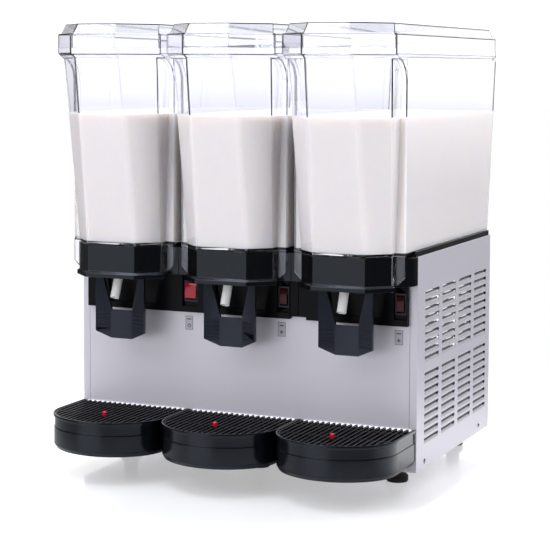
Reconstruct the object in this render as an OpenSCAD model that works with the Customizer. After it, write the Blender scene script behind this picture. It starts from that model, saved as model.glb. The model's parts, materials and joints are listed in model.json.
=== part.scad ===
// Cold drink dispenser with three clear bowls on a steel cabinet.
// Millimetres, +Z up, the taps face -Y, the origin is on the floor under the middle.

/* [Cabinet] */
// Width over the side panels
cab_w = 570; // [520:1:640]
// Depth from the front panel to the rear panel
cab_d = 378; // [350:1:420]
// Height of the side panels
cab_h = 326; // [310:1:360]
// Thickness of the sheet steel
sheet = 1.5; // [1:0.1:2]
// Width of the strip that the side panels fold round the front
strip_w = 11.5; // [8:0.5:16]
// Seam between neighbouring panels
seam = 0.5; // [0.3:0.1:1]
// Depth of the deck below the top edge of the side panels
deck_drop = 4; // [3:0.5:6]
// Height of the walls of the base pan
pan_h = 22; // [18:1:30]

/* [Louvres] */
// Length of one louvre
louvre_l = 67; // [50:1:70]
// Pitch of the columns of louvres
louvre_pitch_y = 84; // [78:1:86]
// Pitch of the rows of louvres
louvre_pitch_z = 12.5; // [11:0.05:13]
// Rows in each of the two groups
louvre_rows = 9; // [6:1:9]
// Height of the top row below the top edge
louvre_top = 58; // [50:1:64]
// Distance of the first column from the front
louvre_front = 36; // [28:1:38]
// Height of the slit
louvre_slit = 2.2; // [1.6:0.1:3]
// How far the sheet is pressed in at the slit
louvre_in = 2.6; // [2:0.1:4]
// Height of the pressed slope below the slit
louvre_fall = 6; // [4:0.2:7]
// Radius of the round end of the slit
louvre_end_r = 2.2; // [1.4:0.1:2.6]
// Thickness of the pressed slope
louvre_t = 0.8; // [0.6:0.1:1.2]

/* [Feet] */
// Height of a foot
foot_h = 30.5; // [25:0.5:45]
// Radius of a foot at the floor
foot_r = 17; // [14:0.5:20]
// Distance of the outer feet from the side
foot_side = 52; // [40:1:60]
// Distance of the front feet from the front
foot_front = 64; // [50:1:75]
// Distance of the rear feet from the rear
foot_back = 32; // [28:1:50]

/* [Bowl] */
// Gap between neighbouring bowls at the rim
bowl_gap = 10; // [8:0.2:16]
// Wall of the bowl
bowl_wall = 3; // [2.5:0.1:4]
// Floor of the bowl
bowl_floor = 3.5; // [3:0.1:5]
// Height from the bottom to the shoulder
bowl_h = 289; // [250:1:300]
// Height of the shoulder under the rim
shoulder_h = 7.5; // [5:0.5:10]
// How far the rim stands out at the front
rim_out = 13; // [9:0.5:14]
// How far the rim stands out at the rear
rim_back = 6.5; // [5:0.5:9]
// Height of the rim band
rim_h = 28; // [24:0.5:34]
// Rear face of the rim behind the front panel
bowl_back = 426; // [420:1:440]
// Draft of the rear wall
back_draft = 46; // [38:1:50]
// Draft of the side walls
side_draft = 1.3; // [0.5:0.1:2.5]
// Reach of the nose in front of the front panel, at its bottom
nose_reach = 82; // [81:0.5:86]
// How much further the nose reaches at its top
nose_lean = 46; // [40:1:52]
// Width of the front face at the bottom
face_w = 83; // [78:1:88]
// Width of the front face at the top
face_top_w = 75; // [70:1:82]
// Side recess beside the nose at the bottom
recess = 18; // [17:0.1:20]
// Side recess beside the nose at the top
recess_top = 8.2; // [6:0.1:9]
// Step of the main walls in front of the front panel
step_reach = 38; // [37.5:0.5:40]
// How much further the step reaches at its top
step_lean = 2; // [1:0.5:5]
// Radius of the arch over the side recess
arch_r = 36; // [30:1:42]
// Lower end of the lugs below the bowl
lug_drop = 54; // [46:1:56]
// Width of the narrow front part of a lug
lug_w = 13; // [10:0.5:13.5]
// Height of the sloping front edge of a lug
lug_slope = 16; // [10:1:20]
// Height of the wide part of a lug above its lower end
lug_step = 11; // [8:0.5:14]

/* [Lid] */
// Height of the raised top
lid_h = 17; // [12:0.5:22]
// Flat edge of the lid on the rim
lid_edge = 4; // [3.6:0.2:6]
// Thickness of the edge
lid_edge_t = 2; // [1.5:0.1:3]
// Slope of the raised sides
lid_slope = 4; // [3:0.5:8]
// Slope of the raised front and rear
lid_run = 10; // [6:0.5:12]
// Wall of the lid
lid_wall = 2.2; // [1.8:0.1:3]
// Depth of the skirt inside the rim
skirt_h = 20; // [14:0.5:22]
// Gap between skirt and rim
skirt_gap = 0.6; // [0.4:0.1:1]

/* [Basin] */
// Height of the collar face
collar_h = 41.5; // [40:0.5:46]
// Gap between collar and bowl
collar_gap = 1; // [0.5:0.1:1.5]
// Wall of the moulding
basin_wall = 3; // [2.5:0.1:3.5]
// Height of the bottom lip
lip_h = 9.5; // [8:0.5:11]
// Height of the lip's front face
lip_face = 6; // [4:0.5:7]
// How far the lip stands out at the front
lip_out = 4; // [3:0.5:6]
// How far the lip stands out at the sides
lip_side = 10; // [6:0.5:11]
// Reach of the wide block in front of the front panel
block_reach = 36; // [34:0.5:36.5]
// Height of the block's bottom above the lip's bottom
block_rise = 5; // [5:0.5:7]
// Radius of the block's outer corners
block_r = 30; // [10:1:31]
// Height of the edge behind the bowl
tray_edge = 2; // [1:0.2:3]
// Height of the edges beside the bowl
side_edge = 9; // [6:0.5:12]
// Room round the lugs
lug_gap = 0.5; // [0.4:0.1:0.8]

/* [Cold dome] */
// Distance of the dome behind the front panel
dome_y = 190; // [170:1:210]
// Radius of the dome
dome_r = 54; // [50:0.5:58]
// Height of the dome
dome_h = 112; // [90:1:130]
// Radius of the dome's shoulder
dome_round = 20; // [12:1:30]
// Wall of the dome
dome_wall = 2.5; // [2:0.1:4]
// Radius of the agitator pin
spin_pin_r = 4; // [3:0.1:5]
// Height of the agitator pin
spin_pin_h = 22; // [18:1:28]
// Height of the seal under the bowl
seal_h = 5; // [4:0.5:7]
// Width of the seal's foot
seal_w = 11; // [9:0.5:14]
// Height of the seal's lip inside the bowl
seal_lip = 8; // [7:0.5:10]
// Wall of the seal's lip
seal_lip_w = 4; // [3:0.2:5]
// Gap between seal lip and bowl
seal_gap = 0.8; // [0.5:0.1:1]
// Radius of the agitator
spin_r = 46; // [36:1:48]
// Radius of the agitator's hub
hub_r = 12; // [9:0.5:14]
// Height of the agitator's hub
hub_h = 18; // [16:0.5:22]
// Pitch of the agitator's blades in degrees
blade_tilt = 30; // [15:1:45]
// Thickness of a blade
blade_t = 3; // [2:0.2:4]
// How much lower a blade is than the hub at either edge
blade_edge = 2; // [1.5:0.1:3]

/* [Tap and lever] */
// Distance of the plunger in front of the front panel
tap_reach = 49; // [48:0.5:50]
// Radius of the tap body
tap_r = 10; // [9.5:0.1:10.5]
// Radius of the plunger
plunger_r = 6; // [5:0.1:6.5]
// Radius of the plunger's flange
plunger_flange_r = 16; // [15:0.2:17]
// Outside radius of the spout
spout_r = 7; // [6:0.1:7.5]
// Bore radius of the spout
spout_bore_r = 5; // [4:0.1:5.2]
// Lean of the spout in degrees
spout_lean = 22; // [16:1:23]
// Length of the spout below the lip
spout_drop = 36; // [28:1:37]
// Distance of the lever's pivot in front of the plunger
pivot_arm = 20; // [19:0.5:21]
// Height of the pivot above the lip's bottom
pivot_rise = 21; // [20:0.5:23]
// Radius of the lever's pins
pin_r = 2.5; // [2:0.1:3]
// Distance of the lever's centre face in front of the front panel
lever_reach = 47; // [46:0.5:49]
// Width of the lever
lever_w = 86; // [82:0.5:87]
// Width of the lever's centre face
lever_face_w = 36.5; // [34:0.5:40]
// How far the wings come forward
wing_sweep = 7; // [4:0.5:7.5]
// Thickness of the lever
lever_t = 5; // [4:0.2:6]
// Length of the lever below the lip
lever_drop = 100; // [90:1:106]
// Rise of the lower corners of the wings
wing_rise = 11; // [8:0.5:14]
// Height of the centre face
lever_face_h = 45; // [38:1:50]
// Width of an arm at its top
arm_w = 10.5; // [9.5:0.5:12]
// Grooves in each wing
groove_n = 5; // [3:1:6]
// Pitch of the grooves
groove_pitch = 6; // [5:0.2:7]
// Width of a groove
groove_w = 2; // [1.4:0.1:2.6]
// Depth of a groove
groove_d = 0.9; // [0.5:0.1:1.4]
// Running gap of the lever and the tap
run_gap = 0.4; // [0.3:0.1:0.6]
// Radial clearance of pins and plungers
fit = 0.05; // [0.02:0.01:0.1]

/* [Switches] */
// Height of the plates' bottom edge above the base
plate_rise = 221; // [210:1:226]
// Depth of the plates
plate_t = 9; // [8:0.5:10]
// Floor left in the plates' recesses
plate_floor = 3; // [2:0.2:4]
// Height of the lip along the bottom of the plates
plate_lip = 10; // [8:0.5:14]
// Distance of the plates from the cabinet's sides
plate_end = 13; // [12.5:0.5:13.5]
// Half width of a plate's inner end from its station
plate_half = 81.5; // [81:0.5:86]
// Depth of the tongue between the plates
tongue_t = 7; // [5:0.5:8]
// Height of the notch under the tongues
plate_notch = 4; // [3:0.5:6]
// Half width of the bay behind a lever at its top
bay_top = 48; // [46:0.5:49]
// Half width of the bay behind a lever at its bottom
bay_low = 40; // [36:0.5:44]
// Distance of a switch from the edge of its station
switch_edge = 25; // [24.5:0.5:27]
// Distance of the main switch from the edge of its station
main_shift = 6; // [0:0.5:8]
// Height of the switches above the plates' bottom
switch_rise = 33; // [30:0.5:34]
// Room on each side of a rocker in its pocket
pocket_room = 3.5; // [3.3:0.1:3.8]
// Width of the main rocker
main_rocker_w = 19; // [16:0.5:22]
// Width of the other rockers
rocker_w = 12.5; // [11:0.5:13]
// Height of a rocker
rocker_h = 24; // [20:0.5:25]
// Tilt of a rocker to either side in degrees
rocker_tilt = 8; // [5:0.5:10]
// Wall of the switch body round the rocker
switch_wall = 1.6; // [1.2:0.1:1.8]
// Depth of the switch body behind the plate
switch_d = 16; // [12:0.5:22]

/* [Drip trays] */
// Gap between neighbouring trays
tray_gap = 1; // [0.6:0.1:3]
// Reach of a tray in front of the front panel
tray_reach = 160; // [148:1:172]
// Length of the straight sides
tray_side = 77; // [68:1:86]
// How much flatter the front is than the corners
tray_flat = 8; // [6:0.5:10]
// Height of the tray
tray_h = 54; // [48:1:58]
// Height of the tray's bottom above the base of the cabinet
tray_rise = 12.5; // [8:0.5:18]
// Height of the rim
tray_rim = 5; // [5:0.5:7]
// How far the rim stands out
tray_step = 2.2; // [1.6:0.1:2.6]
// How far the lower band stands out
tray_band = 1; // [0.5:0.1:1.4]
// Height of the lower band's top below the rim
tray_band_drop = 16; // [12:1:20]
// Height of the rounded bottom edge
tray_round = 7; // [5:0.5:9]
// Wall of the tray
tray_wall = 2.6; // [2:0.1:3.4]
// Gap behind a tray
tray_back_gap = 0.3; // [0.3:0.1:0.6]
// Thickness of the grille
grille_t = 4; // [3:0.2:5]
// Gap round the grille
grille_gap = 0.5; // [0.4:0.1:0.8]
// Pitch of the slats
slat_pitch = 9.05; // [7:0.05:10]
// Width of the slots between the slats
slot_w = 5; // [4:0.1:5.4]
// Border round the slots
grille_border = 3; // [2.5:0.5:10]
// Width of the hooks behind a tray
hook_w = 15; // [12:0.5:20]
// Thickness of the hooks
hook_t = 3; // [2.4:0.1:4]
// Length of the hooks behind the front panel
hook_l = 9; // [6:0.5:12]
// Distance of the hooks from the middle of a tray
hook_x = 60; // [50:1:70]
// Gap round the hooks
hook_gap = 0.5; // [0.4:0.1:0.8]
// Distance of the float in front of the front panel
float_reach = 102; // [94:1:110]
// Radius of the float's head
float_head_r = 3.8; // [3:0.1:4.5]
// Height of the float's head above the tray's rim
float_up = 5.5; // [3:0.5:8]
// Radius of the float's disc
float_r = 12; // [9:0.5:15]
// Height of the float's disc
float_h = 12; // [8:0.5:14]
// Rise of the float
float_travel = 10; // [6:0.5:12]
// Radius of the pin that guides the float
float_pin_r = 2; // [1.5:0.1:2.2]

/* [Machinery] */
// Radius of an agitator motor
motor_r = 32; // [26:1:40]
// Height of an agitator motor
motor_h = 58; // [45:1:70]
// Radius of the drive cup in the dome
cup_r = 36; // [28:1:42]
// Height of the drive cup
cup_h = 60; // [40:1:70]
// Radius of the compressor
comp_r = 66; // [55:1:75]
// Height of the compressor
comp_h = 150; // [120:1:180]
// Number of condenser fins
fin_n = 22; // [12:1:24]
// Pitch of the fins
fin_pitch = 8; // [6:0.5:8]
// Height of the condenser
cond_h = 170; // [140:1:200]
// Depth of the condenser
cond_t = 30; // [24:1:36]
// Radius of the fan
fan_r = 72; // [60:1:75]
// Gap round the fan
fan_gap = 4; // [3:0.5:6]
// Number of fan blades
fan_n = 5; // [4:1:7]

/* [Hidden] */
$fn = 64;
eps = 0.02;
cut = 1;

// Places that the pieces share
front_y = -(bowl_back - tray_reach) / 2;
pitch = cab_w / 3;
cab_top = foot_h + cab_h;
deck_z = cab_top - deck_drop;
pan_z = foot_h + sheet;
bowl_z = deck_z + basin_wall + seal_h;
shoulder_z = bowl_z + bowl_h;
rim_z = shoulder_z + shoulder_h;
lid_z = rim_z + rim_h;
collar_top = bowl_z - collar_gap;
lip_top = collar_top - collar_h;
lip_z = lip_top - lip_h;
block_z = lip_z + block_rise;
bowl_half = (pitch - bowl_gap) / 2;
dome_top = deck_z + dome_h;
dome_hole_r = dome_r + 2;
bowl_hole_r = dome_r + fit + seal_lip_w + seal_gap;
pivot_y = -tap_reach - pivot_arm;
pivot_z = lip_z + pivot_rise;
peg_r = 2.5;
peg_gap = 1.5;
hub_wall = 3;
wing_back = 2;
peg_z = pivot_z + 4;
flange_z = peg_z + peg_r + run_gap;
tap_top = pivot_z + 2;
tap_low = lip_z + 4;
plunger_z = tap_low + 4;
flange_t = 3;
plate_z = foot_h + plate_rise;
switch_z = plate_z + switch_rise;
tray_z = foot_h + tray_rise;
tray_top = tray_z + tray_h;
grille_z = tray_top - tray_rim;
tray_half = (pitch - tray_gap) / 2;
tray_bow = tray_reach - tray_side;
corner_r = tray_bow - tray_flat;
corner_x = tray_half - corner_r;
bow_r = (pow(corner_x, 2) + pow(tray_bow, 2) - pow(corner_r, 2)) / (2 * tray_flat);
tray_inset = tray_step + tray_wall;
hook_z = tray_z + tray_h / 2;
lug_in = bowl_half - recess - bowl_wall;
oct = tan(22.5);
rim_tail = 10;
corner_share = 0.9;

// Middle of a station: 0 left, 1 middle, 2 right
function station(i) = (i - 1) * pitch;

// Middle of a switch
function switch_at(i) = station(i) + pitch / 2 + (i == 0 ? main_shift : -switch_edge);

// Width of a rocker
function rocker_width(i) = i == 0 ? main_rocker_w : rocker_w;

// Eight-sided nose outline with a straight back; its 45 degree corners are limited by its depth
function nose(front, half, side, back) = let (
    corner = front + min(side - half, corner_share * (back - front))
) [
    [-half, front], [half, front], [side, corner], [side, back],
    [-side, back], [-side, corner]
];

// Outline of rim and lid: a nose with cut rear corners, inset at its sides and at its two ends
function rim(inset, run) = let (
    tail = rim_tail,
    front = -nose_reach - nose_lean - rim_out + run,
    half = face_top_w / 2 - (inset + run) / 2 * oct,
    side = bowl_half - inset,
    back = bowl_back - run
) [
    [-half, front], [half, front], [side, front + side - half], [side, back - tail],
    [side - tail, back], [tail - side, back], [-side, back - tail], [-side, front + side - half]
];

// Moves a piece from the front panel's frame to a station
module at(i) {
    translate([station(i), front_y, 0]) children();
}

// Moves a piece from the front panel's frame to the part's frame
module from_front() {
    translate([0, front_y, 0]) children();
}

// Box given by its lowest and highest corners
module block(low, high) {
    translate(low) cube(high - low);
}

// Solid between two outlines with the same number of points
module loft(low, low_z, high, high_z) {
    n = len(low);
    polyhedron(
        points = concat([for (p = low) [p.x, p.y, low_z]], [for (p = high) [p.x, p.y, high_z]]),
        faces = concat(
            [[for (k = [0:n - 1]) k]],
            [[for (k = [n - 1:-1:0]) n + k]],
            [for (k = [0:n - 1]) [k, n + k, n + (k + 1) % n, (k + 1) % n]]
        )
    );
}

// Straight wall of an outline between two heights
module prism(low_z, high_z) {
    translate([0, 0, low_z]) linear_extrude(high_z - low_z) children();
}

// Profile drawn in Y and Z, drawn out along X
module along_x(low, high) {
    translate([low, 0, 0]) rotate([90, 0, 90]) linear_extrude(high - low) children();
}

// Profile drawn in X and Z, drawn out along Y
module along_y(low, high) {
    translate([0, high, 0]) rotate([90, 0, 0]) linear_extrude(high - low) children();
}

// Round bar along X
module bar_x(r, low, high, y, z) {
    translate([low, y, z]) rotate([0, 90, 0]) cylinder(r = r, h = high - low);
}

// Round bar along Y
module bar_y(r, low, high, x, z) {
    translate([x, low, z]) rotate([-90, 0, 0]) cylinder(r = r, h = high - low);
}

// Screw places on a side panel: distance from the front, all at one height
screw_front = 39;
screw_back = 56;
screw_ys = [screw_front, cab_d - screw_back];
screw_z = foot_h + pan_h / 2;
screw_r = 2;
screw_head_r = 4.2;
screw_head_h = 2.2;
rear_flange = 12;
rear_screw_in = 60;
rear_screw_x = cab_w / 2 - rear_screw_in;

module base_pan() color("silver") from_front() {
    side = cab_w / 2 - sheet;
    difference() {
        block([-side, sheet, foot_h], [side, cab_d - sheet, foot_h + pan_h]);
        block([sheet - side, 2 * sheet, pan_z], [side - sheet, cab_d - 2 * sheet, foot_h + pan_h + cut]);
        for (y = screw_ys)
            bar_x(screw_r + fit, -cab_w, cab_w, y, screw_z);
        for (x = [-rear_screw_x, rear_screw_x])
            bar_y(screw_r + fit, cab_d - 4 * sheet, cab_d + cut, x, screw_z);
    }
}

module front_panel() color("lightgrey") from_front() {
    side = cab_w / 2 - strip_w - seam;
    slot = [hook_w / 2 + hook_gap, hook_t / 2 + hook_gap];
    difference() {
        block([-side, 0, foot_h], [side, sheet, deck_z]);
        for (i = [0:2]) {
            for (x = [-hook_x, hook_x])
                translate([station(i) + x, 0, hook_z])
                    block([-slot.x, -cut, -slot.y], [slot.x, sheet + cut, slot.y]);
            translate([switch_at(i), 0, switch_z]) switch_hole(i, panel_room);
        }
    }
}

panel_room = 1;
plate_room = 0.3;

// Room for a switch body, with a gap round it
module switch_hole(i, gap) {
    x = switch_in(i).x + switch_wall + gap;
    z = switch_in(i).y + switch_wall + gap;
    block([-x, -plate_t, -z], [x, sheet + cut, z]);
}

// Heights of all louvres, with one row left out between the two groups
function louvre_zs() = [
    for (k = [0:2 * louvre_rows]) if (k != louvre_rows) cab_top - louvre_top - k * louvre_pitch_z
];

// What is cut away for one louvre: the slit and the slope below it
module louvre_cut(z) {
    x = cab_w / 2;
    polygon([
        [x + cut, z - louvre_fall], [x, z - louvre_fall], [x - louvre_in, z],
        [x - louvre_in, z + louvre_slit], [x + cut, z + louvre_slit]
    ]);
}

// Sheet of the slope behind one louvre
module louvre_slope(z) {
    x = cab_w / 2;
    low = z - louvre_fall;
    polygon([
        [x - sheet / 2, low], [x - sheet / 2, low + louvre_fall * sheet / louvre_in / 2],
        [x - louvre_in, z], [x - louvre_in - louvre_t, z], [x - sheet, low]
    ]);
}

// Right side panel with its front strip, rear flange and louvres
module side_panel() color("lightgrey") from_front() {
    out = cab_w / 2;
    starts = [for (k = [0:3]) louvre_front + k * louvre_pitch_y];
    difference() {
        union() {
            block([out - sheet, 0, foot_h], [out, cab_d, cab_top]);
            block([out - strip_w, 0, foot_h], [out, sheet, deck_z]);
            block([out - rear_flange, cab_d - sheet, foot_h], [out, cab_d, cab_top]);
        }
        for (y = starts)
            along_y(y, y + louvre_l) for (z = louvre_zs())
                louvre_cut(z);
        for (y = starts, z = louvre_zs())
            bar_x(louvre_end_r, out - 2 * sheet, out + cut, y + louvre_l, z, $fn = 24);
        for (y = screw_ys)
            bar_x(screw_r + fit, out - 2 * sheet, out + cut, y, screw_z);
    }
    for (y = starts)
        along_y(y, y + louvre_l - 2 * louvre_end_r) for (z = louvre_zs())
            louvre_slope(z);
}

module left_side_panel() mirror([1, 0, 0]) side_panel();
module right_side_panel() side_panel();

gland_in = 70;
gland_up = 60;
gland_x = cab_w / 2 - gland_in;
gland_z = foot_h + gland_up;
gland_r = 9;
gland_nut = 5;
gland_cap = 9;
vent_w = 110;
vent_h = 5;
vent_n = 12;
vent_z = foot_h + cab_h / 2 - 6 * vent_h;

module rear_panel() color("lightgrey") from_front() {
    side = cab_w / 2 - rear_flange - seam;
    difference() {
        block([-side, cab_d - sheet, foot_h], [side, cab_d, deck_z]);
        for (i = [0:2], k = [0:vent_n - 1])
            translate([station(i) - vent_w / 2, cab_d - 2 * sheet, vent_z + 2 * k * vent_h])
                cube([vent_w, 3 * sheet, vent_h]);
        bar_y(gland_r + fit, cab_d - 2 * sheet, cab_d + cut, gland_x, gland_z);
        for (x = [-rear_screw_x, rear_screw_x])
            bar_y(screw_r + fit, cab_d - 2 * sheet, cab_d + cut, x, screw_z);
    }
}

module cable_gland() color("dimgray") translate([gland_x, front_y + cab_d, gland_z]) rotate([-90, 0, 0]) {
    difference() {
        union() {
            cylinder(r = gland_r + 4, h = gland_nut, $fn = 6);
            translate([0, 0, -3 * sheet]) cylinder(r = gland_r, h = 3 * sheet + eps);
            translate([0, 0, gland_nut - eps]) cylinder(r = gland_r, h = gland_cap);
        }
        translate([0, 0, gland_nut / 2]) cylinder(r = gland_r / 2, h = gland_nut + gland_cap);
    }
}

module top_deck() color("silver") from_front() {
    side = cab_w / 2 - sheet;
    difference() {
        block([-side, sheet, deck_z - sheet], [side, cab_d - sheet, deck_z]);
        for (i = [0:2])
            translate([station(i), dome_y, deck_z - 2 * sheet]) cylinder(r = cup_r + 3, h = 4 * sheet);
    }
}

// Screw with a domed head, its head face at the origin, pointing to -Z
module screw(length) {
    translate([0, 0, -length]) cylinder(r = screw_r, h = length + eps, $fn = 24);
    rotate_extrude($fn = 32) intersection() {
        translate([0, screw_head_h - 6]) circle(6);
        square([screw_head_r, screw_head_h]);
    }
}

module panel_screws() color("silver") from_front() {
    for (side = [-1, 1], y = screw_ys)
        translate([side * cab_w / 2, y, screw_z]) rotate([0, side * 90, 0]) screw(3 * sheet);
    for (x = [-rear_screw_x, rear_screw_x])
        translate([x, cab_d, screw_z]) rotate([-90, 0, 0]) screw(3 * sheet);
}

foot_round = 1.5;
foot_pad = 9;
foot_taper = 6;

module foot() {
    neck = foot_r - foot_taper;
    rotate_extrude() polygon([
        [0, 0], [foot_r - foot_round, 0], [foot_r, foot_round], [foot_r, foot_pad],
        [neck, foot_pad + foot_taper], [neck, foot_h], [0, foot_h]
    ]);
}

module feet() color("black") from_front() {
    for (x = [foot_side - cab_w / 2, 0, cab_w / 2 - foot_side], y = [foot_front, cab_d - foot_back])
        translate([x, y, 0]) foot();
}

// Recessed plate behind the levers of the stations from first to last
module switch_plate(first, last) color("black") from_front() {
    low = first == 0 ? plate_end - cab_w / 2 : station(first) - plate_half;
    high = last == 2 ? cab_w / 2 - plate_end : station(last) + plate_half;
    end = (pitch + (first == 0 ? -seam : seam)) / 2;
    difference() {
        union() {
            block([low, -plate_t, plate_z], [high, 0, block_z]);
            block([min(end, high), -tongue_t, plate_z + plate_notch], [max(end, low), 0, block_z]);
        }
        for (i = [first:last]) {
            along_y(-plate_t - cut, -plate_floor) translate([station(i), 0]) polygon([
                [-bay_low, plate_z + plate_lip], [bay_low, plate_z + plate_lip],
                [bay_top, block_z + cut], [-bay_top, block_z + cut]
            ]);
            translate([switch_at(i), 0, 0]) {
                half = rocker_width(i) / 2 + pocket_room;
                block([-half, -plate_t - cut, plate_z + plate_lip], [half, -plate_floor, block_z + cut]);
                translate([0, 0, switch_z]) switch_hole(i, plate_room);
            }
        }
    }
}

module switch_plate_double() switch_plate(0, 1);
module switch_plate_single() switch_plate(2, 2);

rocker_back = 4;
rocker_front = 8;
rocker_bulge = 2;
switch_face = 1.5;

// Half width and half height of the cavity in a switch body
function switch_in(i) = [rocker_width(i) / 2 + run_gap, rocker_h / 2 + switch_wall];

// Body of one switch, with a cavity and pin holes for its rocker
module switch_body(i) {
    room = switch_in(i);
    out = room + [switch_wall, switch_wall];
    pin_end = out.x - switch_wall / 2;
    difference() {
        union() {
            block([-out.x - 1, -switch_face, -out.y - 1], [out.x + 1, 0, out.y + 1]);
            block([-out.x, -switch_face, -out.y], [out.x, switch_d, out.y]);
        }
        block([-room.x, -switch_face - cut, -room.y], [room.x, 2 * rocker_back + 2, room.y]);
        bar_x(pin_r / 2 + fit, -pin_end, pin_end, rocker_back - 1, 0);
    }
}

module switch_bodies() color("black") from_front() for (i = [0:2])
    translate([switch_at(i), -plate_floor, switch_z]) switch_body(i);

// Rocker with one half pressed in, on stub pins in the switch body
module rocker(i) color("red") from_front() {
    half = rocker_h / 2;
    side = rocker_width(i) / 2;
    pin_end = switch_in(i).x + switch_wall / 3;
    end = rocker_front - rocker_bulge;
    translate([switch_at(i), rocker_back - 1 - plate_floor, switch_z]) rotate([-rocker_tilt, 0, 0]) {
        along_x(-side, side) polygon([
            [-rocker_front, 0], [-end, -half], [0, -half], [rocker_back, -half / 3],
            [rocker_back, half / 3], [0, half], [-end, half]
        ]);
        bar_x(pin_r / 2, -pin_end, pin_end, 0, 0);
    }
}

// Left and right ends of the wide block of a basin, from its station
function block_low(i) = i == 0 ? -cab_w / 2 - station(0) : seam / 2 - pitch / 2;
function block_high(i) = i == 2 ? cab_w / 2 - station(2) : pitch / 2 - seam / 2;

// Plan of the wide block with its free front corners rounded, drawn smaller by an inset
module block_plan(i, inset) {
    low = block_low(i) + inset;
    high = block_high(i) - inset;
    front = inset - block_reach;
    r_low = i == 0 ? block_r - inset : seam;
    r_high = i == 2 ? block_r - inset : seam;
    difference() {
        translate([low, front]) square([high - low, block_reach - 2 * inset]);
        translate([low, front]) corner_cut(r_low);
        translate([high, front]) mirror([1, 0]) corner_cut(r_high);
    }
}

// What is cut away to round a corner at the origin
module corner_cut(r) {
    difference() {
        translate([-cut, -cut]) square(r + cut);
        translate([r, r]) circle(r);
    }
}

ear_t = 4;
ear_r = 5.5;
lever_half = lever_w / 2;
ear_in = lever_half + run_gap;

// One moulding: collar with lip, wide block, and the tray under the bowl
module basin(i) color("black") at(i) {
    side = bowl_half - recess;
    half = face_w / 2;
    back = basin_wall - block_reach;
    rear = cab_d - 2 * sheet;
    pan = pitch / 2 - sheet - seam;
    bed_z = deck_z + basin_wall;
    floor_z = lip_z + basin_wall + 1;
    lip = nose(-nose_reach - lip_out, half + lip_out * oct, side + lip_side, -block_reach);
    inner = lug_in - lug_gap - basin_wall;
    difference() {
        union() {
            prism(lip_z, collar_top) polygon(nose(-nose_reach, half, side, 2 * basin_wall - block_reach));
            prism(lip_z, lip_z + lip_face) polygon(lip);
            loft(lip, lip_z + lip_face, nose(-nose_reach, half, side, -block_reach), lip_top);
            prism(block_z, cab_top) block_plan(i, 0);
            block([-pan, -basin_wall, deck_z], [pan, rear, bed_z + tray_edge]);
            block([-pan, -basin_wall, bed_z], [basin_wall - pan, rear, bed_z + side_edge]);
            block([pan - basin_wall, -basin_wall, bed_z], [pan, rear, bed_z + side_edge]);
        }
        prism(floor_z, collar_top + cut)
            polygon(nose(basin_wall - nose_reach, half - basin_wall * oct, inner, back));
        prism(block_z + basin_wall, bed_z + side_edge + cut) block_plan(i, basin_wall);
        block([basin_wall - pan, -2 * basin_wall, bed_z],
              [pan - basin_wall, rear - basin_wall, collar_top + cut]);
        translate([0, dome_y, deck_z - cut]) cylinder(r = dome_hole_r, h = basin_wall + 2 * cut);
        block([-ear_in, basin_wall - nose_reach, lip_z - cut], [ear_in, back, floor_z + cut]);
        lug_room();
        mirror([1, 0, 0]) lug_room();
    }
    ear();
    mirror([1, 0, 0]) ear();
}

// Room in a basin for one lug of the bowl
module lug_room() {
    block([lug_in - lug_gap, -step_reach - lug_w - lug_gap, lip_z - cut],
          [bowl_half, -block_reach, collar_top + cut]);
}

// Bearing ear for one pin of the lever
module ear() {
    difference() {
        along_x(ear_in, ear_in + ear_t) {
            translate([pivot_y, pivot_z]) circle(ear_r);
            translate([pivot_y - ear_r, lip_z]) square([2 * ear_r, pivot_z - lip_z]);
        }
        bar_x(pin_r + fit, 0, 2 * ear_in, pivot_y, pivot_z);
    }
}

module lever_pin() {
    bar_x(pin_r, lever_half - arm_w, ear_in + ear_t, pivot_y, pivot_z);
}

module lever_pins() color("silver") for (i = [0:2]) at(i) {
    lever_pin();
    mirror([1, 0, 0]) lever_pin();
}

// Cold dome with the pin that the agitator turns on
module cold_dome(i) color("silver") at(i) translate([0, dome_y, deck_z]) {
    difference() {
        union() {
            rotate_extrude() dome_profile(dome_r, dome_h, dome_round);
            cylinder(r = spin_pin_r, h = dome_h + spin_pin_h);
        }
        translate([0, 0, -eps]) rotate_extrude()
            dome_profile(dome_r - dome_wall, dome_h - dome_wall, dome_round - dome_wall);
    }
}

module dome_profile(r, h, round) {
    square([r, h - round]);
    square([r - round, h]);
    intersection() {
        translate([r - round, h - round]) circle(round);
        square([r, h]);
    }
}

// Section of the seal: flat foot under the bowl and a lip inside its hole
module seal_profile() translate([dome_r + fit, 0]) {
    square([seal_w, seal_h]);
    square([seal_lip_w, seal_h + seal_lip]);
}

module bowl_seals() color("dimgray") for (i = [0:2]) at(i)
    translate([0, dome_y, deck_z + basin_wall]) rotate_extrude() seal_profile();

module agitator_blade() {
    reach = hub_r / 2;
    half = hub_h / 2;
    translate([reach, 0, half]) rotate([blade_tilt, 0, 0])
        block([0, -blade_t / 2, blade_edge - half], [spin_r - reach, blade_t / 2, half - blade_edge]);
}

module agitator(i) color("white") at(i) translate([0, dome_y, dome_top + run_gap]) {
    difference() {
        union() {
            cylinder(r = hub_r, h = hub_h);
            for (k = [0:3]) rotate([0, 0, 90 * k]) agitator_blade();
        }
        translate([0, 0, -cut]) cylinder(r = spin_pin_r + fit, h = hub_h + 2 * cut);
    }
}

motor_flange_t = 4;
motor_flange_w = 8;

module agitator_motors() color("dimgray") for (i = [0:2]) at(i) translate([0, dome_y, deck_z - sheet]) {
    translate([0, 0, -motor_h]) cylinder(r = motor_r, h = motor_h - motor_flange_t + eps);
    translate([0, 0, -motor_flange_t]) cylinder(r = cup_r + motor_flange_w, h = motor_flange_t);
    translate([0, 0, -eps]) cylinder(r = cup_r, h = cup_h + eps);
}

arch_z = shoulder_z - arch_r;

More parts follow.
